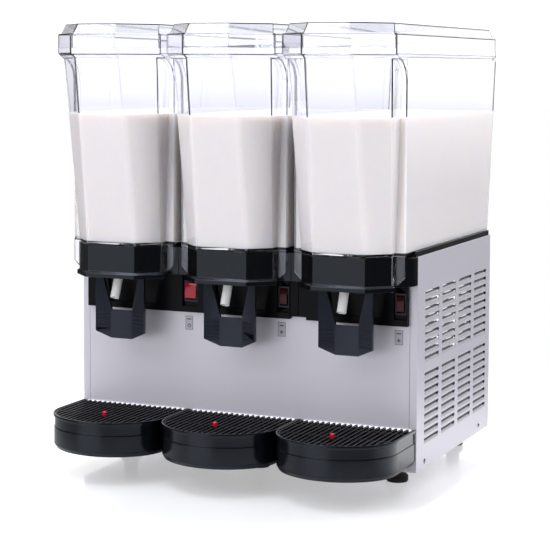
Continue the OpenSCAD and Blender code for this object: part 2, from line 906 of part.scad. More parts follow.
// Side view of the piece that arches from the main wall to the rim, grown by a wall inside
module arch_profile(grow) {
    front = -step_reach - step_lean - arch_r;
    difference() {
        translate([front, arch_z]) square([arch_r + step_lean, arch_r + grow]);
        translate([front, arch_z]) circle(arch_r + grow);
    }
}

// Body of the bowl, drawn smaller by the wall for its inside
module bowl_body(inset, low_z) {
    up = inset > 0 ? bowl_wall + cut : 0;
    half = face_w / 2 - inset * oct;
    top_half = face_top_w / 2 - inset * oct;
    low_side = bowl_half - recess - inset;
    top_side = bowl_half - recess_top - inset;
    low_main = bowl_half - side_draft - inset;
    top_main = bowl_half - seam - inset;
    top_z = shoulder_z + up;
    middle = dome_y;
    loft(nose(inset - nose_reach, half, low_side, middle), low_z,
         nose(inset - nose_reach - nose_lean, top_half, top_side, middle), top_z);
    loft([[-low_main, inset - step_reach], [low_main, inset - step_reach],
          [low_main, bowl_back - back_draft - inset], [-low_main, bowl_back - back_draft - inset]], low_z,
         [[-top_main, inset - step_reach - step_lean], [top_main, inset - step_reach - step_lean],
          [top_main, bowl_back - rim_back - inset], [-top_main, bowl_back - rim_back - inset]], top_z);
    along_x(-top_main, top_main) arch_profile(inset);
    squeeze = top_main / (bowl_half - inset);
    band = rim(inset, inset);
    shoulder_low = [for (p = band) [p.x * squeeze, p.y > 0 ? p.y - rim_back : p.y + rim_out]];
    loft(shoulder_low, shoulder_z + (inset > 0 ? bowl_wall : 0), band, rim_z + up);
    prism(rim_z, lid_z + (inset > 0 ? cut : 0)) polygon(band);
}

// Clear lug that hangs over the side of the collar
module lug() {
    side = bowl_half - recess;
    back = -step_reach;
    low = bowl_z - lug_drop;
    top = bowl_z + bowl_floor;
    out = bowl_half - side_draft;
    along_x(lug_in, side) polygon([
        [back - lug_w, top], [back - lug_w, low + lug_slope], [back - 2 * lug_w / 3, low],
        [back - lug_w / 4, low], [back, low + lug_w / 2], [back, top]
    ]);
    along_y(back - bowl_wall, back) polygon([
        [lug_in, top], [lug_in, low + lug_step], [side + recess / 3, low + lug_step],
        [out, low + 2 * lug_step], [out, top]
    ]);
}

outlet_y = -18;
outlet_r = 7;
tap_wall = 2;
pipe_z = tap_low + 6;
pipe_h = 10;
spout_root = 4;

module bowl(i) color("lightblue", 0.4) at(i) {
    difference() {
        bowl_body(0, bowl_z);
        bowl_body(bowl_wall, bowl_z + bowl_floor);
        translate([0, dome_y, bowl_z - cut]) cylinder(r = bowl_hole_r, h = bowl_floor + 2 * cut);
        translate([0, outlet_y, bowl_z - cut]) cylinder(r = outlet_r, h = bowl_floor + 2 * cut);
    }
    lug();
    mirror([1, 0, 0]) lug();
}

module lid(i) color("lightblue", 0.4) at(i) {
    skirt = bowl_wall + skirt_gap;
    inner = skirt + lid_wall;
    base = lid_edge + lid_wall;
    top = lid_z + lid_h;
    difference() {
        union() {
            prism(lid_z, lid_z + lid_edge_t) polygon(rim(seam, seam));
            loft(rim(lid_edge, lid_edge), lid_z, rim(lid_edge + lid_slope, lid_edge + lid_run), top);
            prism(lid_z - skirt_h, lid_z + eps) polygon(rim(skirt, skirt));
        }
        loft(rim(base, base), lid_z, rim(base + lid_slope, base + lid_run), top - lid_wall);
        prism(lid_z - skirt_h - cut, lid_z + eps) polygon(rim(inner, inner));
    }
}

// Tube that leans forward, from the tap's axis at the lip down
module spout_tube(r, extra) {
    length = spout_drop + 2 * spout_root + extra;
    translate([0, -tap_reach - spout_root, tap_low + spout_root]) rotate([-spout_lean, 0, 0])
        translate([0, 0, -length]) cylinder(r = r, h = length);
}

// White tap under the bowl: inlet from the bowl, plunger bore and spout
module tap(i) color("white") at(i) {
    channel = plunger_r / 2;
    difference() {
        union() {
            translate([0, -tap_reach, tap_low]) cylinder(r = tap_r, h = tap_top - tap_low);
            translate([0, outlet_y, pipe_z]) cylinder(r = outlet_r + tap_wall, h = bowl_z - pipe_z);
            block([-plunger_r, -tap_reach, pipe_z], [plunger_r, outlet_y, pipe_z + pipe_h]);
            spout_tube(spout_r, 0);
        }
        translate([0, -tap_reach, plunger_z - cut]) cylinder(r = plunger_r + fit, h = tap_top);
        translate([0, outlet_y, pipe_z + tap_wall]) cylinder(r = outlet_r, h = bowl_z);
        block([-channel, -tap_reach, pipe_z + tap_wall], [channel, outlet_y, pipe_z + pipe_h - tap_wall]);
        spout_tube(spout_bore_r, cut);
    }
}

module plunger(i) color("white") at(i) translate([0, -tap_reach, 0]) {
    translate([0, 0, plunger_z]) cylinder(r = plunger_r, h = flange_z - plunger_z + eps);
    translate([0, 0, flange_z]) cylinder(r = plunger_flange_r, h = flange_t);
}

lever_top = lip_z + 2;
groove_low = 3;
groove_in = 2;

// Front view of the lever: wings, centre face and the opening between its arms
module lever_outline() {
    face = lever_face_w / 2;
    low = lip_z - lever_drop;
    polygon([
        [-face, low], [face, low], [lever_half, low + wing_rise], [lever_half, lever_top],
        [lever_half - arm_w, lever_top], [face, low + lever_face_h], [-face, low + lever_face_h],
        [arm_w - lever_half, lever_top], [-lever_half, lever_top], [-lever_half, low + wing_rise]
    ]);
}

// Plan of the lever: the wings come forward to cradle a cup
module lever_plan() {
    face = lever_face_w / 2;
    front = -lever_reach;
    back = front + lever_t;
    polygon([
        [-lever_half, front - wing_sweep], [-face, front], [face, front], [lever_half, front - wing_sweep],
        [lever_half, back - wing_sweep + wing_back], [face, back],
        [-face, back], [-lever_half, back - wing_sweep + wing_back]
    ]);
}

// Arm from the paddle up to its pivot, with the tail that carries the peg
module lever_arm() {
    wing = -lever_reach - wing_sweep;
    hub = pin_r + hub_wall;
    difference() {
        union() {
            along_x(lever_half - arm_w, lever_half) {
                translate([pivot_y, pivot_z]) circle(hub);
                polygon([
                    [wing + eps, lip_z], [wing + lever_t + wing_back, lip_z], [-tap_reach + peg_r, peg_z],
                    [-tap_reach, peg_z + peg_r], [pivot_y, pivot_z + pin_r],
                    [pivot_y - pin_r, pivot_z - pin_r]
                ]);
            }
            bar_x(peg_r, tap_r + peg_gap, lever_half - arm_w + eps, -tap_reach, peg_z);
        }
        bar_x(pin_r + fit, 0, 2 * lever_half, pivot_y, pivot_z);
    }
}

// Grooves across one wing
module wing_grooves() {
    face = lever_face_w / 2;
    wing = lever_half - face;
    low = lip_z - lever_drop + wing_rise + groove_low;
    for (k = [0:groove_n - 1])
        translate([face, -lever_reach, low + k * groove_pitch]) rotate([0, 0, -atan(wing_sweep / wing)])
            block([groove_in, -groove_d, 0], [wing - groove_in / 2, groove_d, groove_w]);
}

module lever(i) color("black") at(i) {
    difference() {
        intersection() {
            along_y(-lever_reach - wing_sweep - cut, lever_t - lever_reach + cut) lever_outline();
            prism(lip_z - lever_drop - cut, lever_top + cut) lever_plan();
        }
        wing_grooves();
        mirror([1, 0, 0]) wing_grooves();
    }
    lever_arm();
    mirror([1, 0, 0]) lever_arm();
}

float_pin_h = float_h + float_travel + 4;
float_head_h = 7;
cross_bars = [0.2, 0.55, 0.85];
cross_bar_w = 4;

// D-shaped plan of a tray, drawn smaller by an inset
module tray_plan(inset, rear) {
    side = tray_half - inset;
    translate([-side, -tray_side]) square([2 * side, tray_side - rear]);
    for (s = [-1, 1])
        translate([s * corner_x, -tray_side]) intersection() {
            circle(corner_r - inset);
            translate([-tray_reach, -tray_reach]) square([2 * tray_reach, tray_reach + eps]);
        }
    translate([0, bow_r - tray_reach]) intersection() {
        circle(bow_r - inset);
        polygon([
            [0, 0], [-2 * corner_x, 2 * (tray_bow - bow_r)], [2 * corner_x, 2 * (tray_bow - bow_r)]
        ] * max(2, bow_r / tray_flat));
    }
}

module tray(i) color("black") at(i) {
    band_z = tray_top - tray_rim - tray_band_drop;
    low_inset = tray_step - tray_band;
    slope = tray_round / 2;
    difference() {
        union() {
            prism(tray_z + tray_round, band_z) tray_plan(low_inset, tray_back_gap);
            prism(band_z - eps, grille_z) tray_plan(tray_step, tray_back_gap);
            prism(grille_z - eps, tray_top) tray_plan(0, tray_back_gap);
            hull() {
                prism(tray_z + tray_round - eps, tray_z + tray_round) tray_plan(low_inset, tray_back_gap);
                prism(tray_z, tray_z + eps) tray_plan(low_inset + slope, tray_back_gap + slope);
            }
        }
        prism(tray_z + tray_wall + 1, tray_top + cut) tray_plan(tray_inset, tray_inset);
        prism(grille_z, tray_top + cut) tray_plan(tray_step, -cut);
    }
    translate([0, -float_reach, tray_z + tray_wall]) cylinder(r = float_pin_r, h = float_pin_h);
    for (x = [-hook_x, hook_x])
        translate([x, 0, hook_z]) block([-hook_w / 2, -1, -hook_t / 2], [hook_w / 2, hook_l, hook_t / 2]);
}

// Slatted grille: slots run from the front border to the open rear edge, over cross bars
module grille(i) color("black") at(i) {
    inset = tray_step + grille_gap;
    rear = tray_back_gap + grille_gap;
    n = floor((tray_half - inset - grille_border - slot_w / 2) / slat_pitch + 0.5);
    difference() {
        prism(grille_z, grille_z + grille_t) tray_plan(inset, rear);
        prism(grille_z - cut, grille_z + grille_t + cut) intersection() {
            tray_plan(inset + grille_border, 0);
            for (k = [-n:n - 1])
                translate([(k + 0.5) * slat_pitch - slot_w / 2, -tray_reach]) square([slot_w, tray_reach]);
        }
        translate([0, -float_reach, grille_z - cut]) cylinder(r = float_head_r + 1, h = grille_t + 2 * cut);
    }
    difference() {
        prism(grille_z, grille_z + grille_t / 2) intersection() {
            tray_plan(inset + grille_border - 1, inset);
            for (b = cross_bars)
                translate([-tray_half, -b * tray_reach]) square([2 * tray_half, cross_bar_w]);
        }
        translate([0, -float_reach, grille_z - cut]) cylinder(r = float_head_r + 1, h = grille_t + 2 * cut);
    }
}

// Red level float: disc on the guide pin, stem, and a head that shows above the grille
module float(i) color("red") at(i) translate([0, -float_reach, 0]) {
    low = tray_z + tray_wall + 1 + run_gap;
    top = tray_top + float_up;
    stem_r = float_pin_r + 1;
    round = float_head_r / 3;
    difference() {
        union() {
            translate([0, 0, low]) cylinder(r = float_r, h = float_h);
            translate([0, 0, low]) cylinder(r = stem_r, h = top - low - float_head_h);
            translate([0, 0, top]) mirror([0, 0, 1]) rotate_extrude() polygon([
                [0, 0], [float_head_r - round, 0], [float_head_r, round],
                [float_head_r, float_head_h - round], [stem_r, float_head_h + eps], [0, float_head_h + eps]
            ]);
        }
        translate([0, 0, low - cut]) cylinder(r = float_pin_r + fit, h = float_pin_h + cut);
    }
}

comp_x = cab_w / 4;
comp_y = cab_d / 2;
comp_foot_r = 8;
comp_foot_h = 8;
comp_base_t = 4;

module compressor() color("black") translate([comp_x, front_y + comp_y, pan_z]) {
    side = comp_r + comp_foot_r;
    half = comp_r - comp_foot_r;
    top = comp_foot_h + comp_base_t;
    translate([0, 0, top]) rotate_extrude() dome_profile(comp_r, comp_h, comp_r / 2);
    block([-side, -half, comp_foot_h], [side, half, top + eps]);
    for (x = [-comp_r, comp_r], y = [2 * comp_foot_r - comp_r, comp_r - 2 * comp_foot_r])
        translate([x, y, 0]) cylinder(r = comp_foot_r, h = comp_foot_h + eps);
}

cond_x = 8 - cab_w / 2 + rear_flange;
fan_x = cond_x + cond_t + 14;
fan_z = pan_z + 14 + fan_r + fan_gap;
fan_shaft_r = 3;
frame_t = 3;
fin_t = 1;
fin_low = 6;
tube_n = 6;
tube_r = 4;
tube_end = 6;
fan_motor_r = 22;
fan_motor_x = 26;
fan_motor_l = 32;
fan_hub_r = 18;
fan_hub_back = 16;
fan_hub_front = 4;
fan_blade_w = 32;
fan_blade_t = 2;
fan_pitch = 35;
arm_x = 34;
frame_arm = 6;
frame_edge = 12;

// Fins on tubes between two end plates that stand on the pan
module condenser() color("silver") translate([cond_x, front_y + dome_y, pan_z]) {
    reach = fin_n * fin_pitch / 2;
    low = cond_h / tube_n / 2;
    for (k = [0:fin_n])
        translate([0, k * fin_pitch - reach, 0])
            block([0, 0, k % fin_n == 0 ? 0 : fin_low], [cond_t, fin_t, cond_h]);
    for (x = [cond_t / 4, 3 * cond_t / 4], k = [0:tube_n - 1])
        translate([x, -reach - tube_end, low + k * cond_h / tube_n]) rotate([-90, 0, 0])
            cylinder(r = tube_r, h = 2 * (reach + tube_end), $fn = 24);
}

module fan_frame() color("dimgray") translate([fan_x, front_y + dome_y, 0]) {
    r = fan_r + fan_gap;
    half = r + frame_edge;
    out = r + frame_arm + 1;
    arm = frame_arm / 2;
    difference() {
        block([0, -half, pan_z], [frame_t, half, fan_z + half]);
        bar_x(r, -cut, frame_t + cut, 0, fan_z);
    }
    bar_x(fan_motor_r, fan_motor_x, fan_motor_x + fan_motor_l, 0, fan_z);
    bar_x(fan_shaft_r, -fan_hub_front - 2, fan_motor_x + eps, 0, fan_z);
    for (a = [45:90:315]) translate([0, 0, fan_z]) rotate([a, 0, 0]) {
        block([0, r + 1, -arm], [arm_x + frame_arm, out, arm]);
        block([arm_x, fan_motor_r - arm, -arm], [arm_x + frame_arm, out, arm]);
    }
}

module fan() color("white") translate([fan_x, front_y + dome_y, fan_z]) {
    half = fan_blade_w / 2;
    difference() {
        union() {
            bar_x(fan_hub_r, -fan_hub_front, fan_hub_back, 0, 0);
            for (k = [0:fan_n - 1]) rotate([360 * k / fan_n, 0, 0]) translate([6, 0, fan_hub_r - 3])
                rotate([0, 0, fan_pitch]) block([0, -half, 0], [fan_blade_t, half, fan_r - fan_hub_r - 1]);
        }
        bar_x(fan_shaft_r + fit, -cab_w, cab_w, 0, 0);
    }
}

base_pan();
front_panel();
left_side_panel();
right_side_panel();
rear_panel();
top_deck();
switch_plate_double();
switch_plate_single();
switch_bodies();
lever_pins();
bowl_seals();
agitator_motors();
compressor();
condenser();
fan_frame();
fan();
cable_gland();
panel_screws();
feet();
basin(0);  // basin_left
basin(1);  // basin_middle
basin(2);  // basin_right
cold_dome(0);  // cold_dome_left
cold_dome(1);  // cold_dome_middle
cold_dome(2);  // cold_dome_right
bowl(0);  // bowl_left
bowl(1);  // bowl_middle
bowl(2);  // bowl_right
tap(0);  // tap_left
tap(1);  // tap_middle
tap(2);  // tap_right
lid(0);  // lid_left
lid(1);  // lid_middle
lid(2);  // lid_right
plunger(0);  // plunger_left
plunger(1);  // plunger_middle
plunger(2);  // plunger_right
lever(0);  // lever_left
lever(1);  // lever_middle
lever(2);  // lever_right
rocker(0);  // rocker_left
rocker(1);  // rocker_middle
rocker(2);  // rocker_right
tray(0);  // tray_left
tray(1);  // tray_middle
tray(2);  // tray_right
grille(0);  // grille_left
grille(1);  // grille_middle
grille(2);  // grille_right
float(0);  // float_left
float(1);  // float_middle
float(2);  // float_right
agitator(0);  // agitator_left
agitator(1);  // agitator_middle
agitator(2);  // agitator_right
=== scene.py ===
# %% [markdown]
# # A cold drink dispenser, dressed in Blender
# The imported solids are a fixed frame: they say where every piece is and how it
# moves. This lesson gives each piece the look of the real machine. Most pieces
# start as a copy of their solid whose sharp edges are rounded, because a moulded
# or folded edge is never sharp, and it is the thin bright line along such an edge
# that the eye reads as a real object.

# %% Load the frame
import json
import math
import bpy
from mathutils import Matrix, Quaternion, Vector


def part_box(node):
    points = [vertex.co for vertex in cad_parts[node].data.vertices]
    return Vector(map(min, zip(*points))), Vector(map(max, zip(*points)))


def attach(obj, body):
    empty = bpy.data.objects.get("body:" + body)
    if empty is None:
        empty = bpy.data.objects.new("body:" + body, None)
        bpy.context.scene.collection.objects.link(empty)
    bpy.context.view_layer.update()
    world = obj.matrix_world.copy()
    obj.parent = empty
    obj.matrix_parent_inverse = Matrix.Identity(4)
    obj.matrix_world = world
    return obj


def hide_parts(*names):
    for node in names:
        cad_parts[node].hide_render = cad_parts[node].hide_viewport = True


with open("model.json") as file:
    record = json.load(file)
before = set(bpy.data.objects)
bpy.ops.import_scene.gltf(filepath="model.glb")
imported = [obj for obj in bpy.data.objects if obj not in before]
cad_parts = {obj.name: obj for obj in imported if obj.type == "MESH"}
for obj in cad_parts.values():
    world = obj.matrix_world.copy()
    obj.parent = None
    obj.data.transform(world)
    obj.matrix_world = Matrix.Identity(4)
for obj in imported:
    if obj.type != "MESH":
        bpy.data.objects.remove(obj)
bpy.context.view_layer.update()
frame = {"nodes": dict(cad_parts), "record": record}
STATIONS = ("left", "middle", "right")
record = frame["record"]
BODY_OF = {node: body for body, nodes in record["behaviour"]["bodies"].items() for node in nodes}


# %% [markdown]
# ## Camera
# The photograph was taken from the right of the front with a long lens. Its
# upright edges are parallel, so the camera looked level at the height of the lids
# and the picture was shifted down to take in the trays. Here half of that is a
# shift and half a tilt of 3.5 degrees: the uprights lean by less than two pixels,
# and views from other sides, which keep the shift, still show the whole machine.
# The place, lens and shift come from fitting the known corners to the picture.

# %% Camera
EYE = Vector((1.0958, -2.5352, 0.6372))
LOOK = Vector((-0.39779, 0.91545, -0.06105))
LENS_MM = 111.75
SHIFT_DOWN = 0.1882
ROLL = math.radians(0.30)

bpy.ops.object.camera_add(location=EYE)
camera = bpy.context.object
camera.name = "camera"
camera.data.lens = LENS_MM
camera.data.sensor_width = 36
camera.data.shift_y = -SHIFT_DOWN
camera.rotation_euler = (LOOK.to_track_quat("-Z", "Y") @ Quaternion((0, 0, 1), ROLL)).to_euler()
bpy.context.scene.camera = camera
print("camera at", tuple(round(v, 3) for v in camera.location))

# %% [markdown]
# ## Studio
# A product studio has a white sweep behind the object, a few soft lamps and
# darkness elsewhere. The darkness matters as much as the light: glossy black
# plastic and clear plastic only show their shape where they mirror something dark
# next to something bright. The world is therefore bright towards the back, the
# front left and above, and dim towards both sides. Rays that come through clear
# plastic see a brighter world, and the camera itself sees plain white.

# %% Node helpers
def node_link(tree, output, socket):
    """Links one node's output to another node's input."""
    tree.links.new(output, socket)


def math_node(tree, operation, a, b):
    """Joins two values by a sum, a maximum or another operation."""
    node = tree.nodes.new("ShaderNodeMath")
    node.operation = operation
    for socket, value in zip(node.inputs, (a, b)):
        if isinstance(value, (int, float)):
            socket.default_value = value
        else:
            node_link(tree, value, socket)
    return node.outputs[0]


def dot_node(tree, vector, toward):
    """How far a vector reaches in one direction."""
    node = tree.nodes.new("ShaderNodeVectorMath")
    node.operation = "DOT_PRODUCT"
    node.inputs[1].default_value = toward
    node_link(tree, vector, node.inputs[0])
    return node.outputs["Value"]


def smooth_ramp(tree, value, start, end, height=1.0):
    """Rises smoothly from 0 to a height between two values."""
    ramp = tree.nodes.new("ShaderNodeMapRange")
    ramp.interpolation_type = "SMOOTHSTEP"
    limits = {"From Min": start, "From Max": end, "To Min": 0, "To Max": height}
    for label, limit in limits.items():
        ramp.inputs[label].default_value = limit
    node_link(tree, value, ramp.inputs["Value"])
    return ramp.outputs["Result"]


def mix_clear(tree, surface, factor):
    """Mixes a surface with plain see-through and makes that the material's surface."""
    clear = tree.nodes.new("ShaderNodeBsdfTransparent")
    mix = tree.nodes.new("ShaderNodeMixShader")
    node_link(tree, factor, mix.inputs["Fac"])
    node_link(tree, surface, mix.inputs[1])
    node_link(tree, clear.outputs[0], mix.inputs[2])
    node_link(tree, mix.outputs[0], tree.nodes["Material Output"].inputs["Surface"])


# %% World
DIM = 0.06
SEEN_THROUGH, AFTER_CLEAR = 0.8, 0.4

world = bpy.data.worlds.new("studio")
world.use_nodes = True
bpy.context.scene.world = world
tree = world.node_tree
tree.nodes.clear()
direction = tree.nodes.new("ShaderNodeTexCoord")


def glow(toward, start, end, strength):
    """A soft patch of light in the world, brightest in one direction."""
    reach = dot_node(tree, direction.outputs["Generated"], Vector(toward).normalized())
    return smooth_ramp(tree, reach, start, end, strength)


def add(a, b):
    """Sum of two values in the world."""
    return math_node(tree, "ADD", a, b)


def times(a, b):
    """Product of two values in the world."""
    return math_node(tree, "MULTIPLY", a, b)


def larger(a, b):
    """The larger of two values in the world."""
    return math_node(tree, "MAXIMUM", a, b)


sweep = times(glow((0.05, 1.0, 0.10), 0.50, 0.85, 1.2), glow((0, 0, 1), -0.08, 0.0, 1.0))
front = glow((-0.42, -0.90, 0.05), 0.86, 0.97, 0.85)
above = glow((-0.1, -0.1, 1.0), 0.45, 0.95, 0.80)
level = add(add(sweep, front), add(above, DIM))
path = tree.nodes.new("ShaderNodeLightPath")
behind = larger(glow((-0.40, 0.92, 0), 0.05, 0.30, 0.2), glow((0.40, -0.92, 0), 0.05, 0.30, 0.2))
through = times(add(behind, SEEN_THROUGH), path.outputs["Is Transmission Ray"])
inside = math_node(tree, "GREATER_THAN", path.outputs["Transmission Depth"], 0.5)
through = larger(through, times(inside, AFTER_CLEAR))
level = larger(level, larger(through, path.outputs["Is Camera Ray"]))
background = tree.nodes.new("ShaderNodeBackground")
background.inputs["Color"].default_value = (1, 1, 1, 1)
node_link(tree, level, background.inputs["Strength"])
world_out = tree.nodes.new("ShaderNodeOutputWorld")
node_link(tree, background.outputs[0], world_out.inputs["Surface"])
print("world nodes:", len(tree.nodes))

# %% Lamps
LAMP_TINT = (0.93, 0.945, 1.0)


def soft_lamp(name, place, target, width, height, watts):
    """A rectangular soft box that points at a target."""
    bpy.ops.object.light_add(type="AREA", location=place)
    lamp = bpy.context.object
    lamp.name = name
    lamp.data.shape = "RECTANGLE"
    lamp.data.size = width
    lamp.data.size_y = height
    lamp.data.energy = watts
    lamp.data.color = LAMP_TINT
    lamp.rotation_euler = (Vector(target) - Vector(place)).to_track_quat("-Z", "Y").to_euler()
    return lamp


MIDDLE = (0, 0, 0.35)
soft_lamp("key_lamp", (-1.5, -2.3, 2.0), MIDDLE, 1.6, 1.2, 13)
soft_lamp("rear_lamp", (1.9, 1.9, 1.7), MIDDLE, 1.4, 1.4, 14)
soft_lamp("top_lamp", (-0.8, -0.4, 2.6), MIDDLE, 1.6, 1.2, 28)
fill = soft_lamp("fill_lamp", (-0.7, -3.0, 0.42), (0, -0.1, 0.22), 2.0, 0.7, 19)
right = soft_lamp("right_lamp", (3.0, -0.8, 0.75), (0, 0, 0.5), 1.4, 0.8, 23)
for lamp in (fill, right):
    lamp.visible_glossy = False

# %% [markdown]
# ## Floor
# The floor is a white table with a soft shine. It fades out in a circle, so that
# no horizon shows, and only camera rays get the little extra light that takes it
# to white; the shadow under the trays stays. Behind the machine the table is
# brighter still, and glossy rays see that: it is what shines in the end of a tray.

# %% Floor
FLOOR_SIZE = 9.0
FADE = (0.45, 1.05)
BRIGHT_BEHIND = (0.22, 0.38)
REARWARD = (0.8, 0.6, 0)
SHOWN_LIFT, MIRRORED_LIFT = 0.39, 0.85

bpy.ops.object.select_all(action="DESELECT")
bpy.ops.mesh.primitive_plane_add(size=FLOOR_SIZE, location=(0, 0, 0))
floor = bpy.context.object
floor.name = "floor"
paint = bpy.data.materials.new("white_table")
paint.use_nodes = True
tree = paint.node_tree
shader = tree.nodes["Principled BSDF"]
shader.inputs["Base Color"].default_value = (0.90, 0.90, 0.915, 1)
shader.inputs["Roughness"].default_value = 0.10
shader.inputs["Specular IOR Level"].default_value = 0.7
path = tree.nodes.new("ShaderNodeLightPath")
lift = tree.nodes.new("ShaderNodeEmission")
coord = tree.nodes.new("ShaderNodeTexCoord")
rearward = dot_node(tree, coord.outputs["Object"], REARWARD)
sheen = smooth_ramp(tree, rearward, *BRIGHT_BEHIND, MIRRORED_LIFT)
shown = math_node(tree, "MULTIPLY", path.outputs["Is Camera Ray"], SHOWN_LIFT)
mirrored = math_node(tree, "MULTIPLY", path.outputs["Is Glossy Ray"], sheen)
node_link(tree, math_node(tree, "ADD", shown, mirrored), lift.inputs["Strength"])
lit = tree.nodes.new("ShaderNodeAddShader")
node_link(tree, shader.outputs[0], lit.inputs[0])
node_link(tree, lift.outputs[0], lit.inputs[1])
reach = tree.nodes.new("ShaderNodeVectorMath")
reach.operation = "LENGTH"
node_link(tree, coord.outputs["Object"], reach.inputs[0])
mix_clear(tree, lit.outputs[0], smooth_ramp(tree, reach.outputs["Value"], *FADE))
floor.data.materials.append(paint)
print("floor:", floor.dimensions[:])

# %% [markdown]
# ## Shared effects
# Two effects return in many finishes: the fine grain of a moulding and the long
# streaks of brushed sheet. Both change the shine a little and give a slow cloud for
# the colour. Each is a node group with named inputs, made once and placed in each
# material with its own values. They read Object coordinates, which are metres in
# the part's frame.

# %% Node groups
def effect(name, inputs, outputs):
    """Starts a node group with value inputs and value outputs."""
    group = bpy.data.node_groups.new(name, "ShaderNodeTree")
    for label, value in inputs:
        socket = group.interface.new_socket(label, in_out="INPUT", socket_type="NodeSocketFloat")
        socket.default_value = value
    for label in outputs:
        group.interface.new_socket(label, in_out="OUTPUT", socket_type="NodeSocketFloat")
    return group, group.nodes.new("NodeGroupInput"), group.nodes.new("NodeGroupOutput")


def noise_node(tree, vector, scale, detail):
    """Noise over the surface; scale is a number or another node's output."""
    node = tree.nodes.new("ShaderNodeTexNoise")
    node.inputs["Detail"].default_value = detail
    if isinstance(scale, (int, float)):
        node.inputs["Scale"].default_value = scale
    else:
        node_link(tree, scale, node.inputs["Scale"])
    node_link(tree, vector, node.inputs["Vector"])
    return node.outputs["Fac"]


def spread(tree, value, middle, amount):
    """Turns noise between 0 and 1 into a value around a middle."""
    centred = math_node(tree, "SUBTRACT", value, 0.5)
    return math_node(tree, "ADD", math_node(tree, "MULTIPLY", centred, amount), middle)


def tint(tree, value, low, high):
    """Colour between two given ones."""
    node = tree.nodes.new("ShaderNodeMix")
    node.data_type = "RGBA"
    node_link(tree, value, node.inputs["Factor"])
    node.inputs[6].default_value = (*low, 1)
    node.inputs[7].default_value = (*high, 1)
    return node.outputs[2]


moulded, source, sink = effect(
    "moulded_grain", [("Scale", 2500), ("Roughness", 0.3), ("Change", 0.15)],
    ["Grain", "Roughness", "Cloud"])
coord = moulded.nodes.new("ShaderNodeTexCoord")
grain = noise_node(moulded, coord.outputs["Object"], source.outputs["Scale"], 2)
cloud = noise_node(moulded, coord.outputs["Object"], 14, 4)
node_link(moulded, grain, sink.inputs["Grain"])
node_link(moulded, cloud, sink.inputs["Cloud"])
shine = spread(moulded, cloud, source.outputs["Roughness"], source.outputs["Change"])
node_link(moulded, shine, sink.inputs["Roughness"])

brushed, source, sink = effect(
    "brushed_sheet",
    [("Along X", 6), ("Along Y", 6), ("Along Z", 900), ("Roughness", 0.3), ("Change", 0.12)],
    ["Streak", "Roughness", "Cloud"])
coord = brushed.nodes.new("ShaderNodeTexCoord")
stretch = brushed.nodes.new("ShaderNodeCombineXYZ")
for axis in "XYZ":
    node_link(brushed, source.outputs["Along " + axis], stretch.inputs[axis])
scaled = brushed.nodes.new("ShaderNodeVectorMath")
scaled.operation = "MULTIPLY"
node_link(brushed, coord.outputs["Object"], scaled.inputs[0])
node_link(brushed, stretch.outputs[0], scaled.inputs[1])
streak = noise_node(brushed, scaled.outputs[0], 1.0, 5)
cloud = noise_node(brushed, coord.outputs["Object"], 9, 3)
node_link(brushed, streak, sink.inputs["Streak"])
node_link(brushed, cloud, sink.inputs["Cloud"])
shine = spread(brushed, streak, source.outputs["Roughness"], source.outputs["Change"])
node_link(brushed, shine, sink.inputs["Roughness"])
print("groups:", [g.name for g in bpy.data.node_groups])

# %% [markdown]
# ## Finishes
# Every finish is a Principled shader whose colour, roughness and bump come from
# an effect. Two colours are given for each, close together, and the effect's slow
# cloud moves between them, as a real moulding or sheet is never one flat colour.

# %% Finish helpers
def start_material(name):
    """New material, its tree and its Principled shader."""
    material = bpy.data.materials.new(name)
    material.use_nodes = True
    return material, material.node_tree, material.node_tree.nodes["Principled BSDF"]


def place_group(tree, group, **values):
    """Places an effect in a material with its own values."""
    node = tree.nodes.new("ShaderNodeGroup")
    node.node_tree = group
    for label, value in values.items():
        node.inputs[label.replace("_", " ")].default_value = value
    return node


def bump(tree, shader, height, strength, distance):
    """Small relief from a height."""
    node = tree.nodes.new("ShaderNodeBump")
    node.inputs["Strength"].default_value = strength
    node.inputs["Distance"].default_value = distance
    node_link(tree, height, node.inputs["Height"])
    node_link(tree, node.outputs[0], shader.inputs["Normal"])


def plastic(name, low, high, roughness, change, scale, relief,
            coat=0.0, shine=(1, 1, 1), level=0.5):
    """Moulded plastic, rubber or paint."""
    material, tree, shader = start_material(name)
    grain = place_group(tree, moulded, Scale=scale, Roughness=roughness, Change=change)
    node_link(tree, tint(tree, grain.outputs["Cloud"], low, high), shader.inputs["Base Color"])
    node_link(tree, grain.outputs["Roughness"], shader.inputs["Roughness"])
    bump(tree, shader, grain.outputs["Grain"], relief, 0.0002)
    shader.inputs["Specular Tint"].default_value = (*shine, 1)
    shader.inputs["Specular IOR Level"].default_value = level
    shader.inputs["Coat Weight"].default_value = coat
    shader.inputs["Coat Roughness"].default_value = 0.08
    return material


def metal(name, low, high, roughness, change, along, metallic=1.0):
    """Brushed or plain sheet metal; along gives the scale of the streaks on each axis."""
    material, tree, shader = start_material(name)
    sheet = place_group(tree, brushed, Along_X=along[0], Along_Y=along[1], Along_Z=along[2],
                        Roughness=roughness, Change=change)
    node_link(tree, tint(tree, sheet.outputs["Cloud"], low, high), shader.inputs["Base Color"])
    node_link(tree, sheet.outputs["Roughness"], shader.inputs["Roughness"])
    bump(tree, shader, sheet.outputs["Streak"], 0.05, 0.0001)
    shader.inputs["Metallic"].default_value = metallic
    return material


# %% Finishes
# The blue tint on the reflections of the black plastics is painted: it stands for the cool light
# that they mirror.
COOL_PAINTED_REFLECTION = (0.76, 0.85, 1.0)
DEEP_BLACK = ((0.0035, 0.0038, 0.0050), (0.0050, 0.0054, 0.0070))

